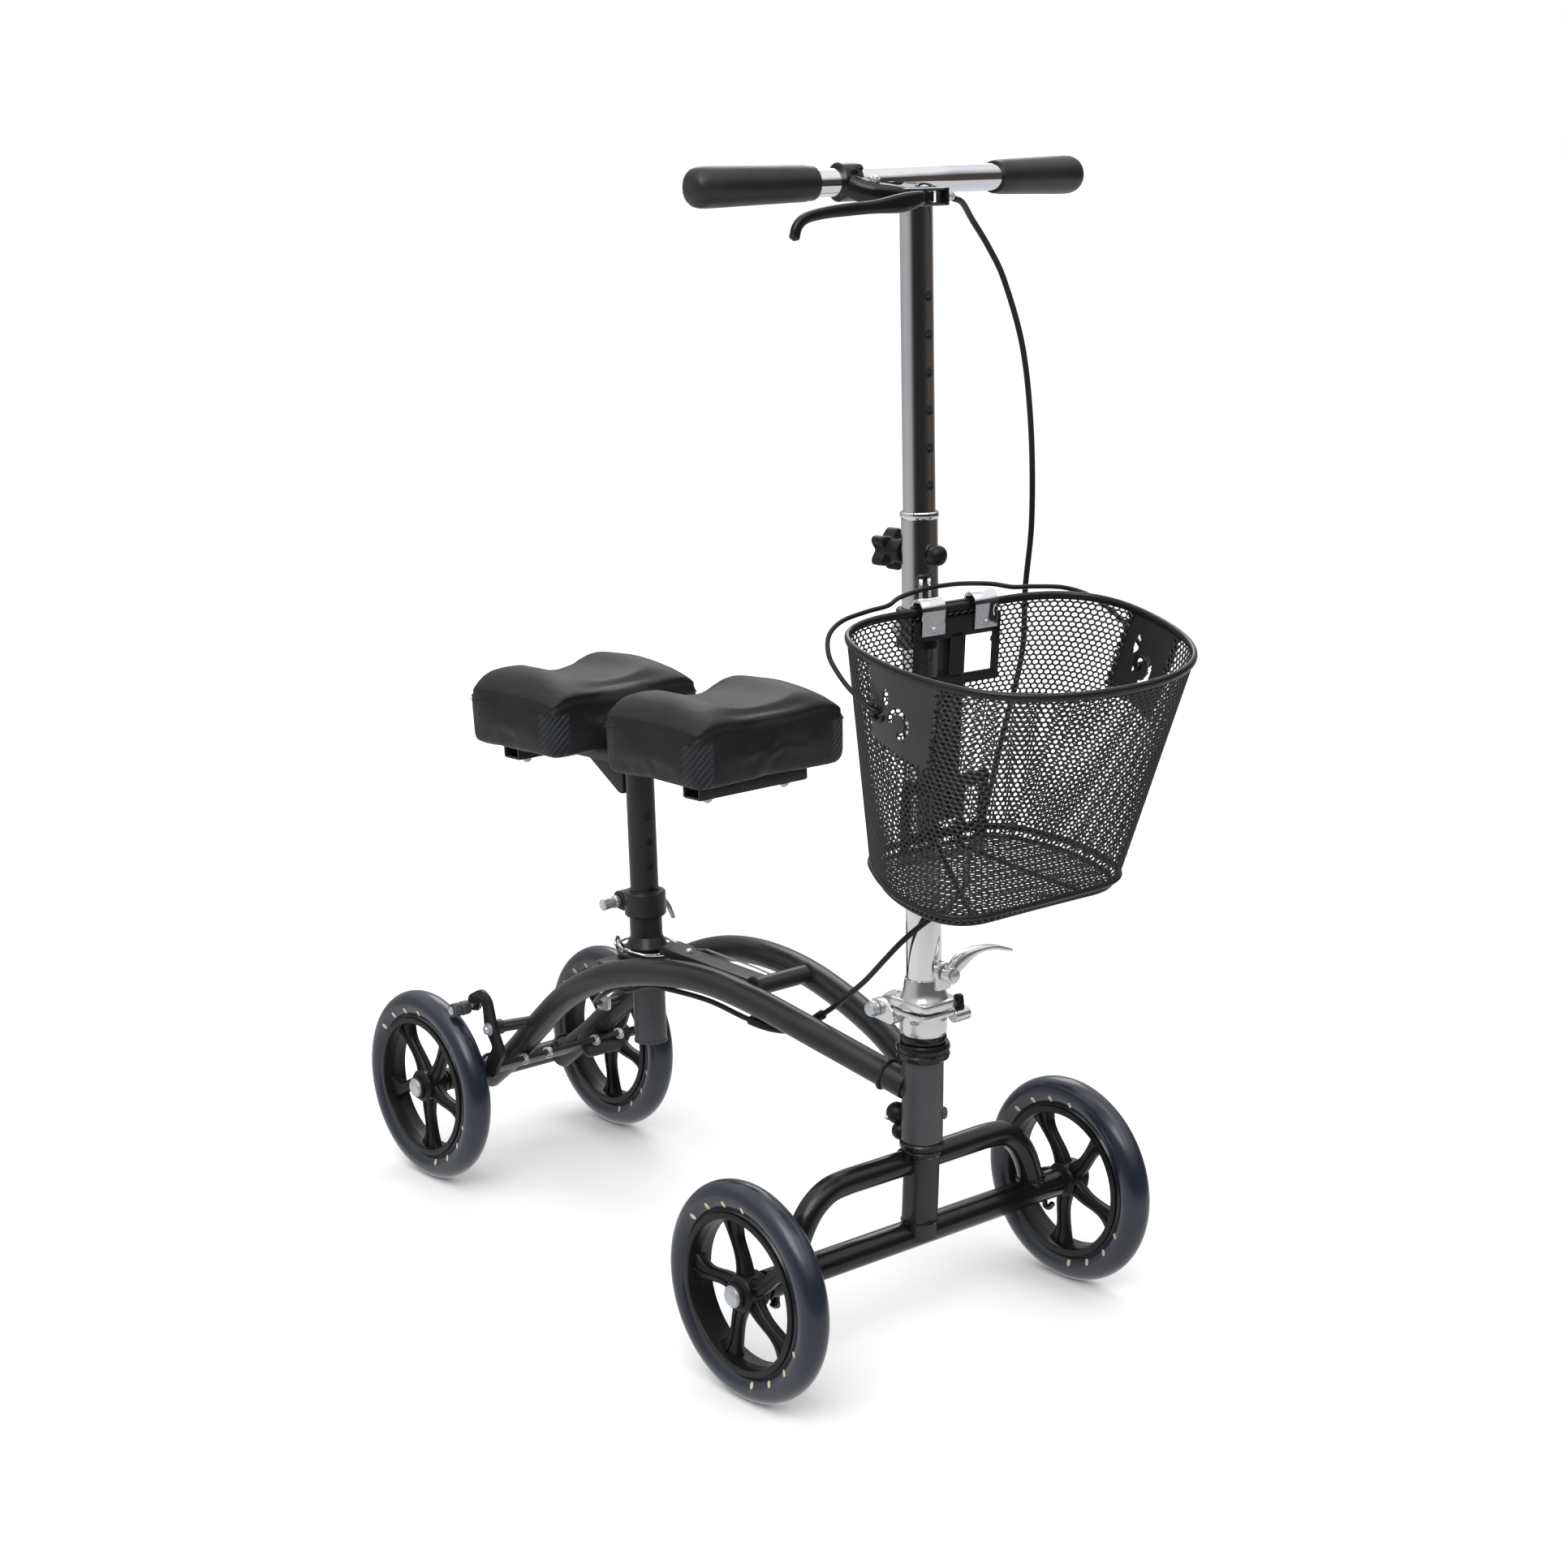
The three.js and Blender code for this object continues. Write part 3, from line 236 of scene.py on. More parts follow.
ZINC = finish("zinc_plate", grey(0.50, (0.94, 1, 1.06)), grey(0.62, (0.97, 1, 1.03)), (0.22, 0.34), 0.7,
              patch=60, grain=420, relief=0.000003, specular=0.5)
PLASTIC = finish("moulded_plastic", grey(0.006), grey(0.009), (0.30, 0.42), grain=2600, relief=0.00004)
GLOSS_PLASTIC = finish("gloss_plastic", grey(0.005), grey(0.008), (0.16, 0.26), grain=900, relief=0.00002,
        coat=0.25)
RIM_PLASTIC = finish("rim_plastic", grey(0.005), grey(0.008), (0.26, 0.38), grain=2000, relief=0.00003)
WIRE = finish("coated_wire", grey(0.006), grey(0.010), (0.24, 0.36), grain=1200, relief=0.00003, coat=0.15)
SHEATH = finish("cable_sheath", grey(0.006), grey(0.010), (0.32, 0.44), grain=2000, relief=0.00002)
GRIP = finish("grip_rubber", grey(0.009, COOL), grey(0.014, COOL), (0.30, 0.44), grain=1100, relief=0.00008,
              specular=0.4)
BEIGE = finish("beige_plug", (0.42, 0.36, 0.24), (0.55, 0.48, 0.33), (0.4, 0.5), patch=200)
TYRE = finish("cast_urethane", (0.009, 0.012, 0.020), (0.014, 0.019, 0.030), (0.24, 0.34), patch=14,
              grain=300, relief=0.000006, coat=0.5, coat_rough=0.14, specular=0.4)
MESH_COAT = finish("expanded_mesh_coating", grey(0.014, COOL), grey(0.022, COOL), (0.30, 0.42), grain=1200,
                   relief=0.00003, coat=0.1, specular=0.35)


# ---- mesh drawing ----
def smooth(points, count, closed=False):
    """Points spaced evenly along a Catmull-Rom curve through the given ones."""
    knots = np.array(points, float)
    if closed:
        ring = np.vstack([knots[-1], knots, knots[0], knots[1]])
    else:
        ring = np.vstack([2 * knots[0] - knots[1], knots, 2 * knots[-1] - knots[-2]])
    fine = []
    for a, b, c, d in zip(ring, ring[1:], ring[2:], ring[3:]):
        for t in np.linspace(0, 1, 24, endpoint=False):
            fine.append(0.5 * (2 * b + (c - a) * t + (2 * a - 5 * b + 4 * c - d) * t ** 2
                               + (3 * b - a - 3 * c + d) * t ** 3))
    fine.append(knots[0] if closed else knots[-1])
    fine = np.array(fine)
    far = np.concatenate([[0], np.cumsum(np.linalg.norm(np.diff(fine, axis=0), axis=1))])
    at = np.linspace(0, far[-1], count + 1 if closed else count)
    spaced = np.column_stack([np.interp(at, far, fine[:, k]) for k in range(fine.shape[1])])
    return spaced[:-1] if closed else spaced


def frames_along(path, closed=False, up=None):
    """A path with its tangents and two crosswise directions at each point."""
    path = np.array(path, float)
    if closed:
        along = np.roll(path, -1, 0) - np.roll(path, 1, 0)
    else:
        along = np.gradient(path, axis=0)
    along /= np.linalg.norm(along, axis=1)[:, None]
    side = np.cross(along[0], (0, 0, 1) if up is None else up)
    if np.linalg.norm(side) < 1e-6:
        side = np.cross(along[0], (1, 0, 0))
    sides, ups = [], []
    for tangent in along:
        side = side - tangent * np.dot(side, tangent) if up is None else np.cross(tangent, up)
        side = side / np.linalg.norm(side)
        sides.append(side)
        ups.append(np.cross(side, tangent))
    return path, along, np.array(sides), np.array(ups)


def loop_section(sides, power=2.0):
    """Points round a unit circle, or a rounder square when power is over 2."""
    angles = np.linspace(0, 2 * math.pi, sides, endpoint=False)
    c, s = np.cos(angles), np.sin(angles)
    return np.column_stack([np.sign(c) * np.abs(c) ** (2 / power), np.sign(s) * np.abs(s) ** (2 / power)])


def skin(rings, closed=False, caps=True):
    """Faces over a run of rings of points."""
    count, sides = len(rings), len(rings[0])
    points = np.vstack(rings)
    faces = []
    for i in range(count if closed else count - 1):
        j = (i + 1) % count
        for k in range(sides):
            n = (k + 1) % sides
            faces.append((i * sides + k, i * sides + n, j * sides + n, j * sides + k))
    if caps and not closed:
        faces.append(tuple(range(sides - 1, -1, -1)))
        faces.append(tuple((count - 1) * sides + k for k in range(sides)))
    return points, faces


def sweep(path, radius, sides=20, wide=None, up=None, closed=False, power=2.0, rounded=False):
    """A bar along a path: radius up and down, wide from side to side, each a number or one per point."""
    path = np.array(path, float)
    radius = np.broadcast_to(np.array(radius, float), (len(path),))
    wide = radius if wide is None else np.broadcast_to(np.array(wide, float), (len(path),))
    if rounded:
        cut = np.array([0.0, 0.38, 0.71, 0.92])
        lead, tail = path[0] - path[1], path[-1] - path[-2]
        lead, tail = lead / np.linalg.norm(lead), tail / np.linalg.norm(tail)
        size = np.sqrt(1 - (1 - cut) ** 2) + 0.02
        reach = min(radius[0], wide[0]), min(radius[-1], wide[-1])
        path = np.vstack([[path[0] + lead * reach[0] * (1 - c) for c in cut], path,
                          [path[-1] + tail * reach[1] * (1 - c) for c in cut[::-1]]])
        radius = np.concatenate([radius[0] * size, radius, radius[-1] * size[::-1]])
        wide = np.concatenate([wide[0] * size, wide, wide[-1] * size[::-1]])
    path, _, side, top = frames_along(path, closed, up)
    unit = loop_section(sides, power)
    rings = [p + unit[:, :1] * s * w + unit[:, 1:] * t * r for p, s, t, w,
             r in zip(path, side, top, wide, radius)]
    return skin(rings, closed)


def turned(profile, sides=48, closed=False):
    """A body turned about Z from (radius, height) points."""
    angles = np.linspace(0, 2 * math.pi, sides, endpoint=False)
    ring = np.column_stack([np.cos(angles), np.sin(angles), np.zeros(sides)])
    rings = [ring * max(r, 0.01) + (0, 0, z) for r, z in profile]
    points, faces = skin(rings, closed)
    return points, [f[::-1] for f in faces]


def fillet(corners, radius, steps=4):
    """A closed outline with each corner rounded."""
    out = []
    count = len(corners)
    for i, corner in enumerate(corners):
        here = Vector(corner[:2])
        before, after = Vector(corners[i - 1][:2]) - here, Vector(corners[(i + 1) % count][:2]) - here
        r = corner[2] if len(corner) > 2 else radius
        cutback = min(r, before.length * 0.48, after.length * 0.48)
        a, b = here + before.normalized() * cutback, here + after.normalized() * cutback
        for k in range(steps + 1):
            t = k / steps
            out.append(tuple(a * (1 - t) ** 2 + here * 2 * t * (1 - t) + b * t ** 2))
    return out


def prism(outline, low, high):
    """A flat outline drawn from one height to another."""
    count = len(outline)
    points = [(x, y, low) for x, y in outline] + [(x, y, high) for x, y in outline]
    faces = [(i, (i + 1) % count, count + (i + 1) % count, count + i) for i in range(count)]
    area = sum(a[0] * b[1] - b[0] * a[1] for a, b in zip(outline, list(outline[1:]) + [outline[0]]))
    caps = [tuple(range(count - 1, -1, -1)), tuple(range(count, 2 * count))]
    if area < 0:
        faces, caps = [f[::-1] for f in faces], [c[::-1] for c in caps]
    return np.array(points, float), faces + caps


def block(x0, x1, y0, y1, z0, z1):
    return prism([(x0, y0), (x1, y0), (x1, y1), (x0, y1)], z0, z1)


def eased(shape, width, segments=2, angle=32):
    """The same solid with its sharp edges rounded."""
    points, faces = shape
    bm = bmesh.new()
    verts = [bm.verts.new(p) for p in points]
    for face in faces:
        bm.faces.new([verts[i] for i in face])
    bmesh.ops.recalc_face_normals(bm, faces=bm.faces)
    bm.normal_update()
    sharp = [e for e in bm.edges if len(e.link_faces) == 2 and e.calc_face_angle(0) > math.radians(angle)]
    bmesh.ops.bevel(bm, geom=sharp, offset=width, segments=segments, profile=0.6, affect="EDGES",
                    clamp_overlap=True)
    bm.verts.index_update()
    out = np.array([v.co[:] for v in bm.verts]), [tuple(v.index for v in f.verts) for f in bm.faces]
    bm.free()
    return out


def place_on(origin, axis, spin=0.0):
    """The matrix that stands a turned body's Z on an axis."""
    turn = Vector(axis).to_track_quat("Z", "Y").to_matrix().to_4x4()
    return Matrix.Translation(origin) @ turn @ Matrix.Rotation(spin, 4, "Z")


SIDEWAYS = Matrix(((0, 0, 1, 0), (1, 0, 0, 0), (0, 1, 0, 0), (0, 0, 0, 1)))  # draws (y, z), thick along x
FACING = Matrix(((1, 0, 0, 0), (0, 0, 1, 0), (0, 1, 0, 0), (0, 0, 0, 1)))  # draws (x, z), thick along y
HEX = [(math.cos(math.radians(60 * k)), math.sin(math.radians(60 * k))) for k in range(6)]


class Piece:
    """Solids gathered into one object, each with its own material."""

    def __init__(self, name):
        self.name, self.points, self.faces, self.marks, self.looks = name, [], [], [], []

    def add(self, shape, look, matrix=None):
        points, faces = shape
        base = len(self.points)
        if look not in self.looks:
            self.looks.append(look)
        for p in points:
            v = Vector(p)
            self.points.append(matrix @ v if matrix else v)
        self.faces += [tuple(base + i for i in face) for face in faces]
        self.marks += [self.looks.index(look)] * len(faces)

    def bolt(self, origin, axis, size, look, head=4.0, washer=0.0, nut=True):
        """A hexagon nut with its bolt end, or a domed head, on an axis."""
        m = place_on(origin, axis)
        low = 0.0
        if washer:
            self.add(turned([(0, 0), (size + washer, 0), (size + washer, 1.1), (0, 1.1)], 28), look, m)
            low = 1.1
        if nut:
            self.add(eased(prism([(x * size, y * size) for x, y in HEX], low, low + head), 0.5), look, m)
            self.add(turned([(0, low + head), (size * 0.62, low + head), (size * 0.5, low + head + 1.2),
                             (0, low + head + 1.5)], 20), look, m)
        else:
            self.add(turned([(0, low), (size, low), (size, low + head * 0.45),
                    (size * 0.72, low + head * 0.85), (0, low + head)], 24), look, m)

    def make(self, body, replaces=(), angle=34, blend=None):
        mesh = bpy.data.meshes.new(self.name)
        mesh.from_pydata([TO_ROW @ p for p in self.points], [], self.faces)
        mesh.validate()
        for look in self.looks:
            mesh.materials.append(look)
        mesh.polygons.foreach_set("material_index", self.marks[:len(mesh.polygons)])
        mesh.update()
        bm = bmesh.new()
        bm.from_mesh(mesh)
        bmesh.ops.recalc_face_normals(bm, faces=bm.faces)
        bm.to_mesh(mesh)
        bm.free()
        mesh.shade_smooth()
        mesh.set_sharp_from_angle(angle=math.radians(angle))
        made = bpy.data.objects.new(self.name, mesh)
        bpy.context.scene.collection.objects.link(made)
        if blend:
            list(blend[:2])
            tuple(blend[2])
            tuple(blend[3])
            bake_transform(made)
        elif body:
            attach(made, body)
        if replaces:
            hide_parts(*replaces)


def wrapped(solid, radius, along):
    """Bends a flat solid, drawn about Z, round a tube's front at a height along it."""
    points, faces = solid
    points = np.array(points)
    reach, turn = radius + points[:, 2], points[:, 0] / radius
    return np.stack([reach * np.sin(turn), -reach * np.cos(turn), points[:, 1] + along], 1), faces


def weld(path, radius=1.9, closed=True):
    """A rippled bead along a seam."""
    beads = smooth(path, max(24, len(path) * 4), closed)
    sizes = radius * (1 + 0.14 * np.cos(np.arange(len(beads)) * math.pi * 0.9))
    return sweep(beads, sizes, 8, closed=closed)


def ring_points(origin, axis, radius, count=20):
    m = place_on(origin, axis)
    return [m @ Vector((radius * math.cos(a), radius * math.sin(a), 0))
            for a in np.linspace(0, 2 * math.pi, count, endpoint=False)]


SIDES = (("right", -1), ("left", 1))


# ---- wheels ----
TYRE_CENTRE, TYRE_ROUND, PLUG_RADIUS = 82, 13.3, 76.8


def tyre_profile():
    """A round cross-section, a little flatter on the tread, with a lip where it meets the rim."""
    out = []
    for a in np.linspace(-2.45, 2.45, 40):
        flatter = 0.995 if abs(a) < 0.5 else 1.0
        out.append((TYRE_CENTRE + TYRE_ROUND * math.cos(a) * flatter, TYRE_ROUND * math.sin(a)))
    return out[::-1] + [(70.2, -10.2), (70.2, 10.2)]


def spoke():
    """A curved spoke that widens to the rim, and the rib that stands on it."""
    unit = loop_section(16, 3.2)
    body, rib = [], []
    for t in np.linspace(0, 1, 15):
        sway, dip = 1.6 * math.sin(2 * math.pi * t), math.sin(math.pi * t)
        wide = 5.0 + 3.6 * (1 - t) ** 2.5 + 11 * t ** 5
        both = ((body, 11, 66.5, wide, 6.6 - 1.4 * dip), (rib, 13, 65, 1.5, 9.0 - 2.2 * dip))
        for rings, r0, r1, half_width, deep in both:
            r = np.full(16, r0 + (r1 - r0) * t)
            rings.append(np.column_stack([r, sway + unit[:, 0] * half_width, unit[:, 1] * deep]))
    return skin(body), skin(rib)


RIM_PROFILE = [(69.9, -12.6), (69.9, 12.6), (67.6, 13.0), (64.4, 12.9), (63.6, 11.6), (64.0, 4), (63.0, 1.5),
               (63.0, -1.5), (64.0, -4), (63.6, -11.6), (64.4, -12.9), (67.6, -13.0)]
HUB_PROFILE = [(5.6, -16.6), (10.5, -16.6), (11.2, -16), (11.8, -12.6), (15.2, -11.2), (16.4, -9.6),
               (15.4, -4), (15.4, 4), (16.4, 9.6), (15.2, 11.2), (11.8, 12.6), (11.2, 16), (10.5, 16.6),
               (5.6, 16.6)]
SPOKES = 5
DOT_ANGLES = (134, 152, 169, 187, 293, 311, 330, 348)


def wheel(end, side, sign, x, y, phase, dots):
    """One wheel; its own Z is the axle and points to the left."""
    upright = Matrix.Translation((sign * x, y, AXLE_Z)) @ Matrix.Rotation(math.pi / 2, 4, "Y")
    at = upright @ Matrix.Rotation(math.radians(phase), 4, "Z")
    body = f"{end}_wheel_{side}"
    rubber = Piece(f"{end}_tyre_look_{side}")
    rubber.add(turned(tyre_profile(), 128, closed=True), TYRE, at)
    rubber.make(body, [f"{end}_tyre_{side}"], 60)
    plugs = Piece(f"{end}_tyre_plugs_{side}")
    for face in (-1, 1):
        for angle in DOT_ANGLES:
            lean = math.acos((PLUG_RADIUS - TYRE_CENTRE) / TYRE_ROUND)
            radial, axial = math.cos(lean), math.sin(lean) * face
            spot = Vector((TYRE_CENTRE + 13.25 * radial, 0, 13.25 * axial))
            turn = Matrix.Rotation(math.radians(angle + dots), 4, "Z")
            lens = turned([(0, -0.6), (1.9, -0.6), (2.1, 0.05), (1.5, 0.3), (0, 0.4)], 16)
            stretch = Matrix.Diagonal((1.0, 1.55, 1, 1))
            plugs.add(lens, BEIGE, upright @ turn @ place_on(spot, (radial, 0, axial)) @ stretch)
    plugs.make(body)
    hub = Piece(f"{end}_rim_look_{side}")
    hub.add(turned(RIM_PROFILE, 96, closed=True), RIM_PLASTIC, at)
    hub.add(turned(HUB_PROFILE, 48, closed=True), RIM_PLASTIC, at)
    for k in range(SPOKES):
        for solid in spoke():
            hub.add(solid, RIM_PLASTIC, at @ Matrix.Rotation(2 * math.pi * k / SPOKES, 4, "Z"))
    hub.make(body, [f"{end}_rim_{side}"], 38)


for side, sign in SIDES:
    wheel("front", side, sign, FRONT_WHEEL_X, FRONT_AXLE_Y, 20 if sign < 0 else 6, -2 if sign < 0 else 1)
    wheel("rear", side, sign, REAR_WHEEL_X, REAR_AXLE_Y, 0, -6 if sign < 0 else -9)


def axle_bolts(end, x, y, body):
    """A through axle with a domed bolt head outside each wheel."""
    rod = Piece(f"{end}_axle_bolt")
    rod.add(sweep([(-x - 16, y, AXLE_Z), (x + 16, y, AXLE_Z)], 4.9, 20), ZINC)
    for sign in (-1, 1):
        face = sign * (x + 16.7)
        rod.bolt((face, y, AXLE_Z), (sign, 0, 0), 8.2, ZINC, head=3.0, washer=1.2, nut=False)
    rod.make(body, [f"{end}_axle_rod"])


axle_bolts("front", FRONT_WHEEL_X, FRONT_AXLE_Y, "steering")
axle_bolts("rear", REAR_WHEEL_X, REAR_AXLE_Y, "frame")


# ---- main frame ----
FRAME_TUBE = [(10, -290, 232), (30, -205, 256), (41, -120, 273), (47, -50, 277), (56, 20, 267),
              (59, 80, 247), (55, 140, 213), (50, 195, 168), (47, 240, 127), (45, REAR_AXLE_Y - 6, 90)]
for side, sign in SIDES:
    path = smooth([(sign * x, y, z) for x, y, z in FRAME_TUBE], 90)
    tube = Piece(f"frame_tube_look_{side}")
    tube.add(sweep(path, 12.7, 32), POWDER)
    tube.add(weld(ring_points(path[3], path[4] - path[2], 13.2)), POWDER)
    tube.add(weld(ring_points((sign * 45.6, REAR_AXLE_Y - 12.5, 101), (0.0, -0.72, 0.60), 13.6)), POWDER)
    tube.make("frame", [f"frame_tube_{side}"])

rear_tube = Piece("rear_axle_tube_look")
rear_tube.add(eased(sweep([(-95.6, REAR_AXLE_Y, AXLE_Z), (95.6, REAR_AXLE_Y, AXLE_Z)], 11, 36), 0.8), POWDER)
rear_tube.make("frame", ["rear_axle_tube"])

head = Piece("head_tube_look")
head.add(turned([(15.6, 183), (17.4, 183), (18, 183.8), (18, 256.2), (17.4, 257), (15.6, 257)], 56,
                closed=True), GREY_AND_PAINTED_REFLECTION, Matrix.Translation((0, STEER_Y, 0)))
head.add(weld([(sign * 15.2, STEER_Y + 9, z) for sign, z in ((-1, 243), (-1, 234), (-1, 224))] +
              [(0, STEER_Y + 18, 219)] + [(15.2, STEER_Y + 9, z) for z in (224, 234, 243)] +
              [(0, STEER_Y + 18, 249)]), GREY_AND_PAINTED_REFLECTION)
head.bolt((13.2, STEER_Y - 11.4, 207), (0.76, -0.65, 0), 5.6, GREY_AND_PAINTED_REFLECTION, head=4.6, nut=False)
head.make("frame", ["head_tube"])

stop = Piece("steering_stop_lobes")
for x, y, z, size in ((-9, -277, 203, 9.6), (-7, -280, 187, 8.2)):
    dome = [(size * math.sin(a), -size * math.cos(a)) for a in np.linspace(0, math.pi, 20)]
    stop.add(turned(dome, 36), PLASTIC, Matrix.Translation((x, y, z)))
    stop.add(sweep([(x, y, z), (x * 0.4, y - 9, z)], size * 0.72, 20), PLASTIC)
stop.bolt((-15.6, -273.4, 199.8), (-1, 0.5, -0.2), 2.6, ZINC, head=2.2)
stop.make("frame")


def headset(name, node, rows, body, wave=0.0):
    """A turned cup on the steering axis; a wave makes its top rise into two peaks."""
    cup = Piece(name)
    points, faces = turned(rows, 64, closed=True)
    if wave:
        top = points[:, 2].max()
        angle = np.arctan2(points[:, 1], points[:, 0])
        points[:, 2] += np.where(points[:, 2] > top - 2, wave * np.cos(2 * angle + 0.35), 0)
    cup.add((points, faces), GLOSS_PLASTIC, Matrix.Translation((0, STEER_Y, 0)))
    cup.make(body, [node])


headset("lower_cup_look", "headset_lower_cup", [(12.9, 176.1), (17.6, 176.1), (19.3, 177.6), (19.5, 181),
        (18.4, 182.6), (12.9, 182.6)], "frame")
headset("upper_cup_look", "headset_upper_cup", [(12.9, 257.4), (20.4, 257.4), (22.6, 259.2),
        (23.4, 262.4), (21.6, 264.4), (23.2, 266.4), (23.5, 270), (22, 272.8), (18, 273.5),
        (12.9, 273.5)], "frame")
headset("peaked_cover_look", "headset_cover", [(12.9, 274.2), (20.2, 274.2), (20.6, 276), (19.6, 280.4),
        (19.0, 281.4), (12.9, 281.4)], "steering", 2.6)

# seat tube with its lower flange and the bridge between the frame tubes
seat_tube = Piece("seat_tube_look")
seat_tube.add(turned([(13.9, 70), (15.5, 70), (15.5, 149.2), (14.9, 149.9), (13.9, 149.9)], 56,
        closed=True), POWDER, SEAT)
# the seat tube is black all along; the lighter grey below the bridge, down to its bottom ring, is a painted
# reflection
seat_tube.add(turned([(13.9, 0.4), (14.9, 0.4), (15.5, 1.0), (15.5, 70), (13.9, 70)], 56, closed=True),
              GREY_AND_PAINTED_REFLECTION, SEAT)
seat_tube.add(turned([(14.6, 0.2), (15.9, 0.2), (16.2, 1.4), (15.9, 2.8), (14.6, 2.8)], 56, closed=True),
              GREY_AND_PAINTED_REFLECTION, SEAT)
seat_tube.add(turned([(15.4, 91), (18.8, 92.2), (20.2, 95), (18.4, 99), (15.4, 105)], 56, closed=True),
              POWDER, SEAT)
seat_tube.make("frame", ["seat_tube"])
bridge = Piece("seat_bridge_look")
bridge.add(eased(prism(fillet([(-49, 60), (49, 60), (50, 102), (-50, 102)], 9), 248, 258), 2.0), PLATE)
bridge.add(turned([(16.6, 258), (27.6, 258), (28.6, 259.4), (28.6, 261.6), (27.6, 263), (16.6, 263)], 48,
        closed=True), POWDER, Matrix.Translation((0, 84.2, 0)))
for sign in (-1, 1):
    bridge.add(weld([(sign * 47.5, 62, 251), (sign * 48.5, 80, 249), (sign * 48.5, 100, 242)], 2.2,
                    False), POWDER)
bridge.make("frame", ["seat_bridge"])
loop = Piece("base_wire_loop")
wire_ring = smooth([(-27, 76, 268), (-20, 62, 266), (0, 55, 264.5), (20, 62, 265), (28, 80, 266),
        (24, 100, 268), (8, 110, 268), (-10, 109, 268), (-24, 99, 268)], 90, True)
loop.add(sweep(wire_ring, 1.5, 12, closed=True), CHROME)
loop.add(sweep(smooth([(-26, 78, 268), (-36, 76, 270), (-42, 78, 277), (-37, 82, 283), (-32, 83, 276),
        (-26, 84, 268)], 40), 1.4, 10), CHROME)
loop.add(sweep([(15, 52, 267), (13.5, 10, 277), (13, -60, 277), (12.6, -98, 275)], 0.9, 10, rounded=True),
         CHROME)
loop.make("frame")

spine = Piece("spine_bar_look")
spine.add(eased(block(-10.6, 10.6, -104, 52, 267.4, 275), 1.2, 3), PLATE)
spine.bolt((0, 20, 275), (0, 0, 1), 3.4, ZINC, head=3.5, nut=False)
spine.make("frame", ["spine_bar"])
brace = Piece("cross_brace_look")
brace.add(sweep([(-33, -112, 280), (33, -112, 280)], 8.4, 32), POWDER)
for sign in (-1, 1):
    brace.add(weld(ring_points((sign * 31.5, -112, 279.6), (1, 0, 0), 9.0), 1.6), POWDER)
brace.make("frame", ["cross_brace"])

# ---- seat clamp and its lever ----
clamp = Piece("seat_clamp_look")
clamp.add(turned([(15.8, 125), (18.4, 125), (19.8, 126.6), (20, 147.4), (18.6, 149), (15.8, 149)], 56,
        closed=True), POWDER, SEAT)
ear = fillet([(14, 128), (30, 130), (30, 143), (26, 146.5), (14, 147)], 3)
for x0, x1 in ((-15, -1.6), (1.6, 15)):
    clamp.add(eased(prism(ear, x0, x1), 1.6, 3), POWDER, SEAT @ SIDEWAYS)
clamp.add(sweep([(-20, 23, 137), (15, 23, 137)], 3.4, 20), ZINC, SEAT)
clamp.add(turned([(0, 0), (5.7, 0), (6.2, 0.8), (6.2, 4), (5.2, 5), (5.2, 13), (4.6, 15.5), (0, 16)], 28),
          ZINC, SEAT @ place_on((-15.4, 23, 137), (-1, 0, -0.05)))
clamp.add(turned([(0, 0), (5.5, 0), (5.5, 3.4), (4.4, 4.2), (0, 4.2)], 24), ZINC,
          SEAT @ place_on((-29.8, 23, 136.4), (-1, 0, -0.05)))
clamp.make("frame", ["seat_clamp"])
lever = Piece("seat_lever_look")
lever.add(eased(turned([(0, -5.6), (6, -5.6), (6, 5.6), (0, 5.6)], 32), 0.9), POWDER,
          SEAT @ place_on((22.3, 23.5, 137), (0, 1, 0)))
path = smooth([(23, 23.5, 138), (33, 22.5, 134), (41, 19, 124), (44, 14, 111)], 30)
lever.add(sweep(path, np.linspace(2.9, 1.2, 30), 16, wide=np.linspace(4.6, 3.6, 30), up=(1, 0, 0.2),
                rounded=True), ZINC, SEAT)
lever.make("seat_latch", ["seat_lever"])

# ---- seat post and the rail that carries the pads ----
post = Piece("seat_post_look")
post.add(turned([(12.2, 91), (13.5, 91.6), (13.5, 270.4), (12.2, 271)], 56), POWDER, SEAT)
# the adjustment holes are drawn as dark discs with raised rims: painted shade standing in for the hollow of
# each hole
for s in (151, 174, 198, 222):
    hole_shade_disc = turned([(0, -0.5), (3.6, -0.5), (3.7, 0.05), (3.3, 0.26), (2.7, 0.26), (2.3, 0.05),
            (0, 0.05)], 28)
    post.add(wrapped(hole_shade_disc, 13.5, s), PLASTIC, SEAT @ Matrix.Rotation(math.radians(-8), 4, "Z"))
post.make("seat", ["seat_post"])


def channel(y0, y1, half, low, high, wall=2.4):
    """An upturned steel channel that runs across the scooter."""
    outline = [(y0, low), (y0 + wall, low), (y0 + wall, high - wall), (y1 - wall, high - wall),
               (y1 - wall, low), (y1, low), (y1, high), (y0, high)]
    return eased(prism(outline, -half, half), 0.6, 2)


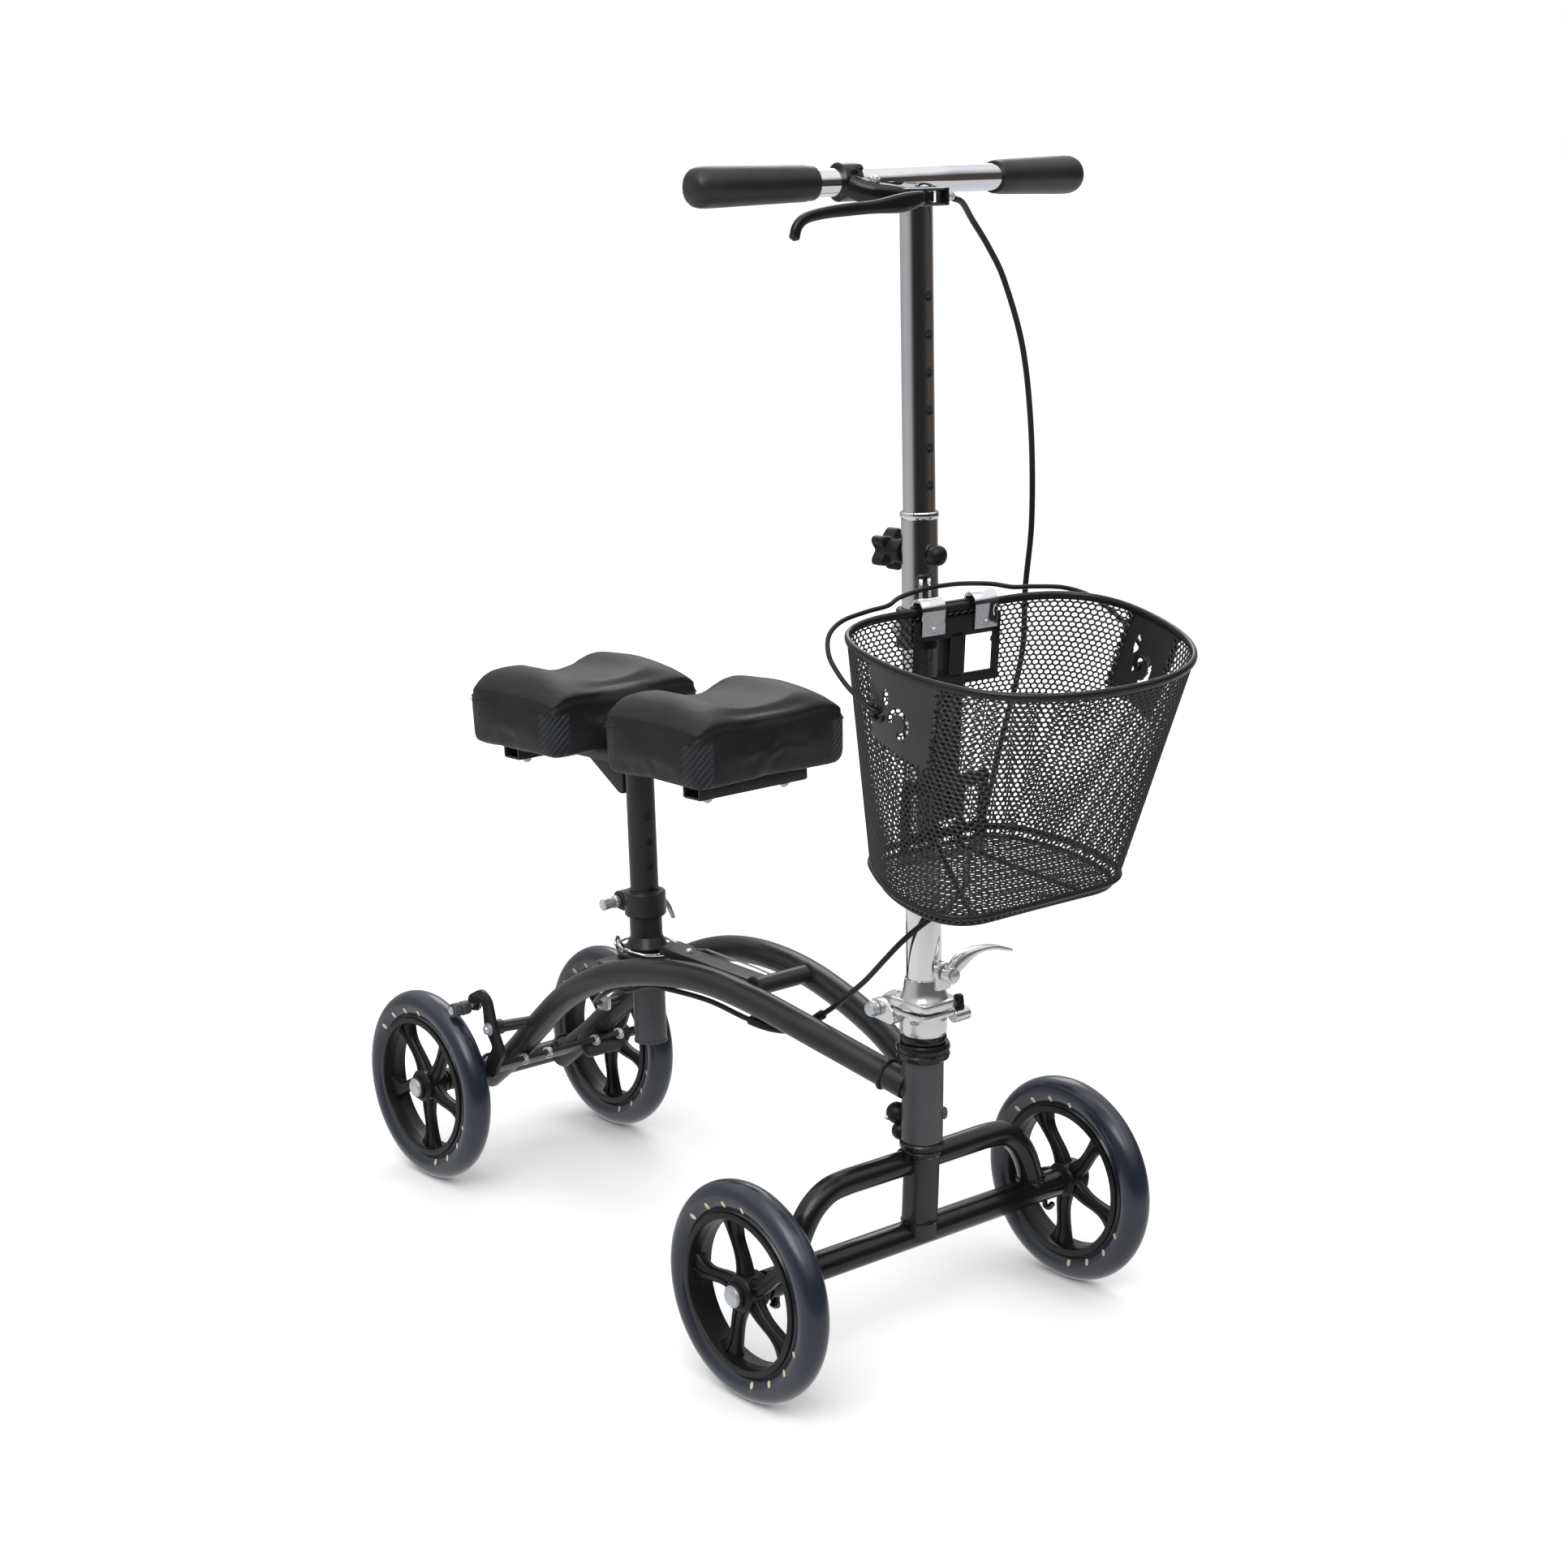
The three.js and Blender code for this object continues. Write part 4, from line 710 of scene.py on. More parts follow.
rail = Piece("seat_rail_look")
for y0, y1 in ((-169, -145), (106, 130)):
    rail.add(channel(y0, y1, 63, 270.8, 284.6), PLATE, SEAT @ SIDEWAYS)
    rail.add(eased(block(-62, 62, y0 + 1, y1 - 1, 269.8, 272.4), 0.5), POWDER, SEAT)
rail.add(eased(block(-15, 15, -160, 122, 271.5, 284.2), 1.5), POWDER, SEAT)
gusset = fillet([(12, 242), (19, 242), (66, 272), (66, 278), (12, 278)], 3)
rail.add(eased(prism(gusset, -11, 11), 1.2), PLATE, SEAT @ SIDEWAYS)
rail.add(weld(ring_points((0, 0, 269.6), (0, 0, 1), 14.2)), POWDER, SEAT)
for y in (-157, 118):
    for x in (-45, 45):
        rail.bolt(SEAT @ Vector((x, y, 269.6)), (0, 0.05, -1), 4.6, ZINC, head=3, washer=1.4)
rail.make("seat", ["seat_rail"])


# ---- pads ----
TWILL = {"reach": 0.021, "fade": 350.0, "across": 780.0, "up": -900.0, "steps": 2400.0, "relief": 0.00045}


def vinyl_material(name, centre, half, length, top):
    """Grained vinyl with a twill band down each upright corner, its colour lightened along the ridges as a
    painted sheen.
    """
    made, tree, bsdf, coords = shader(name)
    drift = tree.noise(coords, 18.0, 4.0)
    colour = tree.drifting(drift, grey(0.006, COOL), grey(0.010, COOL))
    cells = tree.add("TexVoronoi", {"Scale": 950, "Vector": coords}, "Distance")
    plain = tree.bump(tree.math("ADD", cells, tree.noise(coords, 2600, 2.0)), 0.00010, 0.8)
    x, y, z = tree.add("SeparateXYZ", {0: coords}).node.outputs
    from_centre = tree.math("SUBTRACT", y, centre)
    band = tree.math("MULTIPLY", tree.math("SUBTRACT", top, z), TWILL["fade"], True)
    for far, edge in ((x, half), (from_centre, length / 2)):
        inside = tree.math("SUBTRACT", tree.math("ABSOLUTE", far), edge - TWILL["reach"])
        band = tree.math("MULTIPLY", band, tree.math("MULTIPLY", inside, TWILL["fade"], True))
    # slanted ridges, broken into steps, that run the same way round every corner
    corner = tree.math("SIGN", tree.math("MULTIPLY", x, from_centre))
    around = tree.math("SUBTRACT", x, tree.math("MULTIPLY", from_centre, corner))
    slant = tree.math("ADD", tree.math("MULTIPLY", around, TWILL["across"]),
            tree.math("MULTIPLY", z, TWILL["up"]))
    ridge = tree.math("SINE", slant)
    steps = tree.math("MULTIPLY", tree.math("SINE", tree.math("MULTIPLY", z, TWILL["steps"])), 0.25)
    weave = tree.math("MULTIPLY", tree.math("ADD", ridge, steps), band)
    # painted sheen: a lighter blue-grey laid across the band and strongest on the twill ridges, standing in
    # for light on the weave
    painted_ridge_sheen = tree.math("MULTIPLY", band, tree.math("ADD", tree.math("MULTIPLY", ridge, 0.25), 0.35))
    tree.feed(bsdf, {"Base Color": tree.mix(painted_ridge_sheen, colour, (0.026, 0.031, 0.042, 1)),
                     "Normal": tree.bump(weave, TWILL["relief"], 1.0, plain),
                     "Roughness": tree.ranged(drift, 0.0, 1.0, 0.36, 0.52), "Specular IOR Level": 0.27})
    return made


PAD_HALF, PAD_LENGTH, PAD_LOW = 88.5, 136.0, 286.0
CREST, VALLEY = 12.5, 347.0
SEAM = {"down": 7.0, "dip": 1.5, "half_width": 1.9, "from": 0.84, "stitch_down": 4.4}
TWILL_TOP = 332.0
VOXEL, MOST_FILL, FILL_PRESSURE, FRAMES = 0.0045, 0.005, 4.0, 20


def saddle(x, y):
    """The height of the pad's top: two crests with a valley between, easing down at every edge."""
    u, v = abs(x) / PAD_HALF, abs(y) / (PAD_LENGTH / 2)
    forward = max(0.0, -y / (PAD_LENGTH / 2))
    crest = VALLEY + CREST * math.exp(-((u - 0.64) / 0.30) ** 2) * (1 - 0.72 * forward ** 1.6)
    side_ease = 9 * max(0, (u - 0.74) / 0.26) ** 2.2
    end_ease = 4.5 * max(0, (v - 0.6) / 0.4) ** 2.4
    return crest - side_ease - end_ease


def pad_outline(x, y, corner=9.0):
    """Squeezes a point of a square onto a rounded rectangle."""
    hx, hy = PAD_HALF - corner, PAD_LENGTH / 2 - corner
    over_x, over_y = max(0.0, abs(x) - hx), max(0.0, abs(y) - hy)
    if over_x > 0 and over_y > 0:
        biggest = max(over_x, over_y)
        scale = biggest / math.hypot(over_x, over_y)
        over_x, over_y = over_x * scale, over_y * scale
    return (math.copysign(min(abs(x), hx) + over_x, x), math.copysign(min(abs(y), hy) + over_y, y))


def pad_block():
    """A closed rounded block, drawn as a bent grid of cells."""
    nx, ny, nz = 36, 28, 14
    bm = bmesh.new()
    index = {}

    def corner(i, j, k):
        if (i, j, k) not in index:
            x = PAD_HALF * (2 * i / nx - 1)
            y = PAD_LENGTH / 2 * (2 * j / ny - 1)
            t = k / nz
            px, py = pad_outline(x, y)
            pull = 1 - 0.055 * max(0, 1 - t / 0.14) ** 2 - 0.012 * (1 - t)
            top = saddle(px, py) - 3.0
            z = PAD_LOW + (top - PAD_LOW) * t
            index[(i, j, k)] = bm.verts.new((px * pull, py * pull, z))
        return index[(i, j, k)]

    for i in range(nx):
        for j in range(ny):
            bm.faces.new([corner(i, j + 1, 0), corner(i + 1, j + 1, 0), corner(i + 1, j, 0),
                          corner(i, j, 0)])
            bm.faces.new([corner(i, j, nz), corner(i + 1, j, nz), corner(i + 1, j + 1, nz),
                          corner(i, j + 1, nz)])
    for k in range(nz):
        for i in range(nx):
            bm.faces.new([corner(i, 0, k), corner(i + 1, 0, k), corner(i + 1, 0, k + 1),
                          corner(i, 0, k + 1)])
            bm.faces.new([corner(i, ny, k + 1), corner(i + 1, ny, k + 1), corner(i + 1, ny, k),
                          corner(i, ny, k)])
        for j in range(ny):
            bm.faces.new([corner(0, j, k + 1), corner(0, j + 1, k + 1), corner(0, j + 1, k),
                          corner(0, j, k)])
            bm.faces.new([corner(nx, j, k), corner(nx, j + 1, k), corner(nx, j + 1, k + 1),
                          corner(nx, j, k + 1)])
    bmesh.ops.recalc_face_normals(bm, faces=bm.faces)
    return bm


def inflate(made, most):
    """Remeshes the pad evenly and lets cloth pressure fill it out, moving no point further than most."""
    remesh = made.modifiers.new("even", "REMESH")
    remesh.mode = "VOXEL"
    remesh.voxel_size = VOXEL
    settle(made)
    before = np.zeros(len(made.data.vertices) * 3)
    made.data.vertices.foreach_get("co", before)
    outward = np.zeros(len(before))
    made.data.vertices.foreach_get("normal", outward)
    outward = outward.reshape(-1, 3)
    cloth = made.modifiers.new("fill", "CLOTH")
    cloth.settings.use_pressure = True
    cloth.settings.uniform_pressure_force = FILL_PRESSURE
    cloth.settings.effector_weights.gravity = 0
    cloth.settings.quality = 4
    cloth.settings.tension_stiffness = 25
    cloth.settings.compression_stiffness = 25
    cloth.settings.bending_stiffness = 2.0
    cloth.point_cache.frame_start, cloth.point_cache.frame_end = 1, FRAMES
    for step in range(1, FRAMES + 1):
        bpy.context.scene.frame_set(step)
    settle(made)
    bpy.context.scene.frame_set(1)
    after = np.zeros(len(before))
    made.data.vertices.foreach_get("co", after)
    move = (after - before).reshape(-1, 3)
    # the piping holds the corners, so nothing draws in by more than a quarter of what the cloth would
    inward = np.minimum((move * outward).sum(1), 0)
    move -= outward * inward[:, None] * 0.75
    length = np.linalg.norm(move, axis=1)
    move *= (np.minimum(length, most) / np.maximum(length, 1e-9))[:, None]
    made.data.vertices.foreach_set("co", (before.reshape(-1, 3) + move).ravel())
    made.data.update()


def settle(made):
    """Applies every modifier of an object."""
    graph = bpy.context.evaluated_depsgraph_get()
    fresh = bpy.data.meshes.new_from_object(made.evaluated_get(graph), depsgraph=graph)
    made.modifiers.clear()
    made.data = fresh


def closed_run(ring):
    """A closed outline's points with the distance run along it to each."""
    ring = np.vstack([ring, ring[:1]])
    return ring, np.concatenate([[0], np.cumsum(np.linalg.norm(np.diff(ring, axis=0), axis=1))])


def seam_line(count):
    """Evenly spaced points round the pad's rounded-rectangle outline."""
    ring = []
    for a in np.linspace(0, 2 * math.pi, 720, endpoint=False):
        c, s = math.cos(a), math.sin(a)
        reach = 1 / max(abs(c) / PAD_HALF, abs(s) / (PAD_LENGTH / 2))
        ring.append(pad_outline(c * reach, s * reach))
    ring, far = closed_run(ring)
    at = np.linspace(0, far[-1], count, endpoint=False)
    return [(float(np.interp(t, far, ring[:, 0])), float(np.interp(t, far, ring[:, 1]))) for t in at]


def seam_height(x, y):
    return saddle(x, y) - SEAM["down"]


def make_pad(name, node, centre_y):
    place = SEAT @ Matrix.Translation((0, centre_y, 0))
    to_row = TO_ROW @ place
    to_pad = to_row.inverted()
    bm = pad_block()
    mesh = bpy.data.meshes.new(name)
    bm.transform(to_row)
    bm.to_mesh(mesh)
    bm.free()
    made = bpy.data.objects.new(name, mesh)
    bpy.context.scene.collection.objects.link(made)
    inflate(made, MOST_FILL)
    sub = made.modifiers.new("finer", "SUBSURF")
    sub.levels = sub.render_levels = 1
    settle(made)
    # press the sewn seam in along the top edge, and flatten the base where it is screwed to the channels
    for vert in made.data.vertices:
        p = to_pad @ vert.co
        gap = p.z - seam_height(p.x, p.y)
        edge = max(abs(p.x) / PAD_HALF, abs(p.y) / (PAD_LENGTH / 2))
        if edge > SEAM["from"]:
            dip = SEAM["dip"] * math.exp(-(gap / SEAM["half_width"]) ** 2)
            flat = Vector((p.x / PAD_HALF ** 2, p.y / (PAD_LENGTH / 2) ** 2, 0))
            p -= flat.normalized() * dip
        p.z = max(p.z, PAD_LOW - 0.7)
        vert.co = to_row @ p
    seen = (to_row @ Vector((0, 0, TWILL_TOP))).z
    low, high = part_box(node)
    centre = (low.y + high.y) / 2
    made.data.materials.clear()
    made.data.materials.append(vinyl_material(name + "_vinyl", centre, PAD_HALF / 1000, PAD_LENGTH / 1000,
            seen))
    made.data.shade_smooth()
    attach(made, "seat")
    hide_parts(node)
    # stitches along the seam
    thread = Piece(name + "_stitches")
    for (x0, y0), (x1, y1) in zip(*[iter(seam_line(240))] * 2):
        lean = Vector(((x0 + x1) / 2 / PAD_HALF ** 2,
                       (y0 + y1) / 2 / (PAD_LENGTH / 2) ** 2)).normalized() * 0.4
        ends = [(x + lean.x, y + lean.y, seam_height(x, y) - SEAM["stitch_down"]) for x,
                y in ((x0, y0), (x1, y1))]
        run = np.array([ends[0], np.mean(ends, 0) + (lean.x * 0.2, lean.y * 0.2, 0), ends[1]])
        thread.add(sweep(run, 0.45, 6), PLASTIC, place)
    thread.make("seat")
    # the board under the cover, which the channels screw to
    board = Piece(name + "_board")
    outline = fillet([(-70, -52), (70, -52), (70, 52), (-70, 52)], 16)
    board.add(eased(prism(outline, 284.9, 287.5), 0.6), PLASTIC, place)
    board.make("seat")


make_pad("front_pad_look", "front_pad", -130)
make_pad("rear_pad_look", "rear_pad", 82)

# ---- front axle ----
axle = Piece("front_axle_tube_look")
axle.add(eased(sweep([(-172.6, FRONT_AXLE_Y, AXLE_Z), (172.6, FRONT_AXLE_Y, AXLE_Z)], 12.7, 40), 0.9),
         GLOSS_BLACK)
for sign in (-1, 1):
    hook = smooth([(sign * 161, FRONT_AXLE_Y, 84), (sign * 161, FRONT_AXLE_Y, 77),
                   (sign * 163, FRONT_AXLE_Y - 3, 74.8), (sign * 166, FRONT_AXLE_Y - 4, 77.5)], 20)
    axle.add(sweep(hook, 2.4, 12, wide=4, rounded=True), GLOSS_BLACK)
axle.make("steering", ["front_axle_tube"])
riser = Piece("front_riser_look")
riser.add(sweep([(0, STEER_Y, 160), (0, STEER_Y, 286)], 12.4, 40), GLOSS_BLACK)
lower = smooth([(0, STEER_Y + 2.5, 93), (0, STEER_Y + 1.5, 118), (0, STEER_Y + 0.5, 145),
                (0, STEER_Y, 172)], 24)
riser.add(sweep(lower, 13.4, 48, wide=14.0, power=3.2), POWDER)
riser.add(turned([(12.3, 169), (15.6, 169.4), (17, 171.2), (17, 174.2), (16, 175.6), (12.3, 175.6)], 48,
        closed=True), GLOSS_BLACK, Matrix.Translation((0, STEER_Y, 0)))
riser.add(weld(ring_points((0, STEER_Y + 2, 108.6), (0, 0, 1), 14.4)), GLOSS_BLACK)
riser.make("steering", ["front_riser"])
for side, sign in SIDES:
    arch = Piece(f"front_arch_look_{side}")
    path = [(sign * x, FRONT_AXLE_Y, z) for x, z in ((6, 163), (50, 163), (84, 163), (104, 160),
            (121, 149), (133, 132), (140, 114), (145, 98))]
    arch.add(sweep(smooth(path, 70), 11.2, 32), GLOSS_BLACK)
    arch.add(weld(ring_points((sign * 12.6, FRONT_AXLE_Y, 163), (1, 0, 0), 11.6), 1.6), GLOSS_BLACK)
    arch.add(weld(ring_points((sign * 141.5, FRONT_AXLE_Y, 108.8), (0.22 * sign, 0, -1), 11.8), 1.7),
             GLOSS_BLACK)
    arch.make("steering", [f"front_arch_{side}"])

# ---- fold joint ----
HINGE_Y, HINGE_Z = -262.0, 297.0
base = Piece("fold_base_look")
base.add(eased(prism(fillet([(-22, -322), (22, -322), (22, -279), (-22, -279)], 11, 8), 297.5, 302.6),
               1.8, 4), CAST)
base.add(turned([(13.2, 279.5), (18.6, 279.5), (19.8, 281), (20.4, 284), (20.4, 292), (21.2, 296),
        (23.0, 299), (13.2, 300)], 64, closed=True), CAST, Matrix.Translation((0, STEER_Y, 0)))
for x0, x1 in ((-21, -11.4), (11.4, 21)):
    ear = fillet([(-284, 286), (-256, 288), (-253.8, 297), (-256, 305), (-270, 306), (-284, 300)], 6, 5)
    base.add(eased(prism(ear, x0, x1), 1.4, 3), CAST, SIDEWAYS)
base.add(eased(sweep([(16, -318, 296), (33, -318, 296)], 6.2, 32), 1.2, 3), CAST)
base.bolt((33, -318, 296), (1, 0, 0), 4.2, CAST, head=2.2, nut=False)
base.make("steering", ["fold_base"])
stopper = Piece("latch_rubber")
stopper.add(eased(prism(fillet([(-329, 303), (-321, 302), (-318, 309), (-320, 317), (-327, 317)], 3, 4),
        15, 20.5), 1.4, 3), PLASTIC, SIDEWAYS)
stopper.make("steering")
pin = Piece("fold_pin_look")
pin.add(sweep([(-24, HINGE_Y, HINGE_Z), (24, HINGE_Y, HINGE_Z)], 3, 20), ZINC)
pin.add(turned([(0, 0), (6.6, 0), (7, 0.8), (7, 5), (5.4, 8), (0, 9.2)], 36), ZINC,
        place_on((-21.4, HINGE_Y, HINGE_Z), (-1, 0, 0)))
pin.bolt((21.4, HINGE_Y, HINGE_Z), (1, 0, 0), 5.4, ZINC, head=3)
pin.make("steering", ["fold_pin"])
hold = Piece("fold_clamp_look")
hold.add(turned([(15.7, 0.6), (23.4, 0.6), (24, 2.2), (22.6, 5.5), (19.8, 10.5), (17.9, 16.5), (17.2, 23),
        (16.6, 25.6), (15.7, 26)], 56, closed=True), CAST, COLUMN)
hold.add(eased(prism(fillet([(-22, -24), (22, -24), (22, 24), (-22, 24)], 10, 6), 0.6, 8.6), 2.4, 4),
         CAST, COLUMN)
knuckle = fillet([(-277, 303), (-277, 316), (-264, 310), (-254, 301), (-254, 293), (-263, 289),
        (-270, 293)], 4, 5)
hold.add(eased(prism(knuckle, -10.8, 10.8), 1.4, 3), CAST, SIDEWAYS)
lug = fillet([(-4, 322), (13, 322), (13, 341), (9, 346), (0, 346), (-4, 341)], 3, 4)
hold.add(eased(prism(lug, -319.6, -311), 1.0, 3), CAST, FACING)
hold.add(turned([(0, 0), (2.4, 0), (2.4, 13), (0, 13)], 16), ZINC, place_on((5, -319, 337), (0, -1, 0)))
hold.bolt((5, -331.4, 337), (0, -1, 0), 5.2, ZINC, head=2.6, nut=False)
for dx, dz in ((15, 307), (16, 313)):
    hold.add(turned([(0, -0.8), (1.9, -0.8), (2.2, 0.4), (1.6, 0.4), (0, -0.2)], 20), PLASTIC,
             place_on((dx, -322, dz), (0.6, -0.8, 0.1)))
hold.make("column", ["fold_clamp"])
quick = Piece("fold_lever_look")
quick.add(eased(turned([(0, -4.9), (7.3, -4.9), (7.3, 4.9), (0, 4.9)], 40), 1.2, 3), CAST,
          place_on((5, -325.8, 337), (0, 1, 0)))
path = smooth([(5, -326, 339), (16, -326, 347), (32, -326, 352.5), (53, -326, 352), (76, -326, 345)], 44)
t = np.linspace(0, 1, 44)
tall = 4.4 + 3.4 * np.exp(-((t - 0.18) / 0.18) ** 2) - 3.0 * t
quick.add(sweep(path, tall, 18, wide=4.6 + 1.2 * np.sin(math.pi * t) - 1.6 * t, up=(0, 0, 1), power=2.6,
                rounded=True), CAST)
quick.make("fold_latch", ["fold_lever"])

# ---- column ----
low = Piece("lower_column_look")
low.add(turned([(13.9, 8.4), (15.25, 8.4), (15.25, 417), (16, 418), (16.2, 419.5), (16.2, 422),
                (15.4, 423), (13.9, 423)], 72, closed=True), CHROME, COLUMN)
low.make("column", ["lower_column"])
BAR_S, KNOB_S = 688.5, 388
HOLE_PITCH, HOLES = 30.4, 8
high = Piece("upper_column_look")
high.add(turned([(11.6, 340), (13.5, 340.4), (13.5, BAR_S - 4), (11.6, BAR_S - 4)], 72, closed=True),
         CHROME, COLUMN)
# the adjustment holes are drawn as dark discs with raised rims: painted shade standing in for the hollow of
# each hole
for k in range(2, HOLES):
    s = 384 + HOLE_PITCH * k
    painted_hole_shade = turned([(0, -0.5), (4.1, -0.5), (4.2, 0.05), (3.9, 0.24), (3.5, 0.24), (3.2, 0.05), (0, 0.05)],
                  32)
    high.add(wrapped(painted_hole_shade, 13.5, s), PLASTIC, COLUMN)
high.add(weld(ring_points(COLUMN @ Vector((0, 0, BAR_S - 10.2)), (0, 0.03, 1), 12.8), 1.5), CHROME)
high.make("handlebar", ["upper_column"])

BAR = {"half": 201.5, "straight": 14.0, "sweep": 0.144, "drop": 0.006}


def bar_point(sign, along):
    """A point of the handlebar's centreline, which sweeps back past its straight middle."""
    beyond = max(0.0, along - BAR["straight"])
    return Vector((sign * along, BAR["sweep"] * beyond, BAR_S - BAR["drop"] * beyond))


bar_path = smooth([bar_point(-1, BAR["half"]), bar_point(-1, 120), bar_point(-1, 50), bar_point(-1, 22),
        (0, 0.6, BAR_S), bar_point(1, 22), bar_point(1, 50), bar_point(1, 120),
        bar_point(1, BAR["half"])], 90)
bar = Piece("handlebar_look")
bar.add(sweep(bar_path, 11.1, 48), CHROME, COLUMN)
bar.make("handlebar", ["handlebar"])
GRIP_PROFILE = [(11.3, 0), (12.6, 0), (13.2, 0.8), (13.6, 2.4), (13.6, 6), (14.2, 9), (14.6, 30),
                (15.2, 60), (15.8, 85), (16, 99), (15.7, 104), (14.6, 108.4), (12.2, 111.4), (8.5, 113),
                (4, 113.6), (0, 113.7)]
for side, sign in SIDES:
    grip = Piece(f"grip_look_{side}")
    start, end = bar_point(sign, 98), bar_point(sign, 206.5)
    grip.add(turned(GRIP_PROFILE, 56), GRIP, COLUMN @ place_on(start, end - start))
    grip.make("handlebar", [f"grip_{side}"], 50)

# star knob, behind the column
knob = Piece("star_knob_look")
star = [((15.0 + 3.4 * math.cos(5 * a)) * math.cos(a), (15.0 + 3.4 * math.cos(5 * a)) * math.sin(a))
        for a in np.linspace(0, 2 * math.pi, 100, endpoint=False)]
ON_KNOB = COLUMN @ Matrix.Translation((0, 0, KNOB_S)) @ Matrix.Rotation(-math.pi / 2, 4, "X")
knob.add(eased(prism(star, 29.2, 42.8), 2.2, 4), PLASTIC, ON_KNOB)
knob.add(turned([(0, 42.6), (8.6, 42.6), (8.2, 43.6), (0, 44.0)], 40), PLASTIC, ON_KNOB)
knob.add(turned([(3.4, 17.4), (9.6, 17.4), (10, 18), (10, 26), (11.4, 30), (3.4, 30)], 40, closed=True),
         PLASTIC, ON_KNOB)
knob.add(turned([(0, 14.4), (2.8, 14.6), (2.8, 20), (0, 20)], 16), ZINC, ON_KNOB)
knob.make("knob", ["star_knob"])
cap = Piece("knob_cap_look")
cap.add(turned([(0, 15.1), (6.6, 15.3), (7.4, 16), (8.5, 18.6), (8.7, 21.5), (7.8, 24.6), (5.4, 27.0),
                (2.6, 28.0), (0, 28.2)], 40), PLASTIC, COLUMN @ Matrix.Translation((0, 0, KNOB_S))
        @ Matrix.Rotation(math.pi / 2, 4, "X"))
cap.make("column", ["knob_cap"])

# ---- hand brake ----
perch = Piece("brake_perch_look")
clamp_from, clamp_to = bar_point(-1, 60), bar_point(-1, 77)
perch.add(turned([(11.4, 0), (14.4, 0), (15.3, 1), (15.3, 16), (14.4, 17), (11.4, 17)], 48, closed=True),
          GLOSS_PLASTIC, COLUMN @ place_on(clamp_from, clamp_to - clamp_from))
perch.add(sweep(smooth([(-70, 2, 686), (-66, -8, 682), (-59, -17, 679), (-48, -23, 677.5),
        (-38, -27, 675.5)], 30), np.linspace(10, 8, 30), 24, rounded=True, power=2.6), GLOSS_PLASTIC,
          COLUMN)
for rise in (-5.8, 5.8):
    tongue = smooth([(-44, -24, 675.5 + rise), (-30, -31, 675.5 + rise), (-20, -34.5, 675.5 + rise),
                     (-9, -38, 675.5 + rise)], 20)
    perch.add(sweep(tongue, 1.5, 16, wide=7.6, up=(0, 0, 1), rounded=True, power=3), GLOSS_PLASTIC, COLUMN)
perch.add(eased(block(-9, -6, -45, -32, 668.5, 682.5), 1.0), GLOSS_PLASTIC, COLUMN)
perch.bolt(COLUMN @ Vector((-60, -17, 688.4)), (0, -0.3, 1), 4.4, ZINC, head=3.2)
perch.bolt(COLUMN @ Vector((-22, -33, 682.6)), (0, 0, 1), 3.6, ZINC, head=2.2, nut=False)
perch.bolt(COLUMN @ Vector((-68, -8, 699)), (0, -0.6, 0.8), 3.4, PLASTIC, head=2.4, nut=False)
perch.make("handlebar", ["brake_perch"])
blade = Piece("brake_lever_look")
path = smooth([(-20, -33, 675.5), (-36, -43, 675), (-58, -46.5, 672), (-85, -46, 669.9),
               (-110, -43.5, 668.7), (-134, -42, 666.9), (-152, -40.5, 663.5), (-160.5, -40, 657.5),
               (-163, -39.5, 650)], 70)
t = np.linspace(0, 1, 70)
tall = 4.0 + 3.4 * np.exp(-((t - 0.26) / 0.16) ** 2) + 1.0 * np.exp(-((t - 0.62) / 0.2) ** 2)
blade.add(sweep(path, np.full(70, 3.4), 20, wide=tall, up=(0, -1, 0), power=2.8, rounded=True),
          GLOSS_PLASTIC, COLUMN)
blade.add(eased(turned([(2.6, -3.9), (7.5, -3.9), (7.5, 3.9), (2.6, 3.9)], 32, closed=True), 0.8),
          GLOSS_PLASTIC, COLUMN @ Matrix.Translation((-22, -33, 675.5)))
blade.make("hand_brake", ["brake_lever"])
barrel = Piece("cable_adjuster_look")
barrel.add(turned([(2.7, 0), (4.4, 0), (4.4, 3.4), (3.2, 3.8), (3.2, 4.6), (4.0, 5.0), (3.6, 7),
        (2.7, 7)], 24, closed=True), ZINC, COLUMN @ place_on((-5, -39.2, 675.5), (1, 0, 0)))
barrel.make("handlebar", ["cable_adjuster"])

# ---- brake cable, from the barrel to the clip and on to its stop ----
CABLE_FREE = [(3.4, -318.1, 978.5), (18, -313, 974.5), (40, -302, 960), (66, -295, 937), (90, -290, 908),
              (118, -285, 851), (135, -280, 780), (140, -278, 704), (134, -278, 646), (131, -280, 600),
              (123, -280, 565), (109, -280, 524), (97, -280, 483), (79, -282, 444), (55, -294, 420),
              (32, -314, 408), (4, -322, 396), (-16, -315, 384), (-26, -300, 367), (-28, -280, 346),
              (-24, -254, 322), (-18, -228, 302), (-14.5, -204, 283.5), (-14.3, -176, 263)]
CABLE_REAR = [(-14.3, -175.5, 262.6), (-15.5, -163, 253.6), (-24, -148, 248.6), (-34, -132, 249.5),
              (-42, -110, 254), (-45, -65, 258.5), (-47, -12, 256), (-48, 20, 251.5), (-43, 58, 237),
              (-36, 85, 231), (-28, 120, 213), (-13, 150, 196), (2, 168, 187), (12, 176, 183)]
CABLE_RADIUS = 2.5


def cable(name, path, body=None, blend=None, replaces=()):
    piece = Piece(name)
    piece.add(sweep(path, CABLE_RADIUS, 16), SHEATH)
    piece.make(body, replaces, blend=blend)


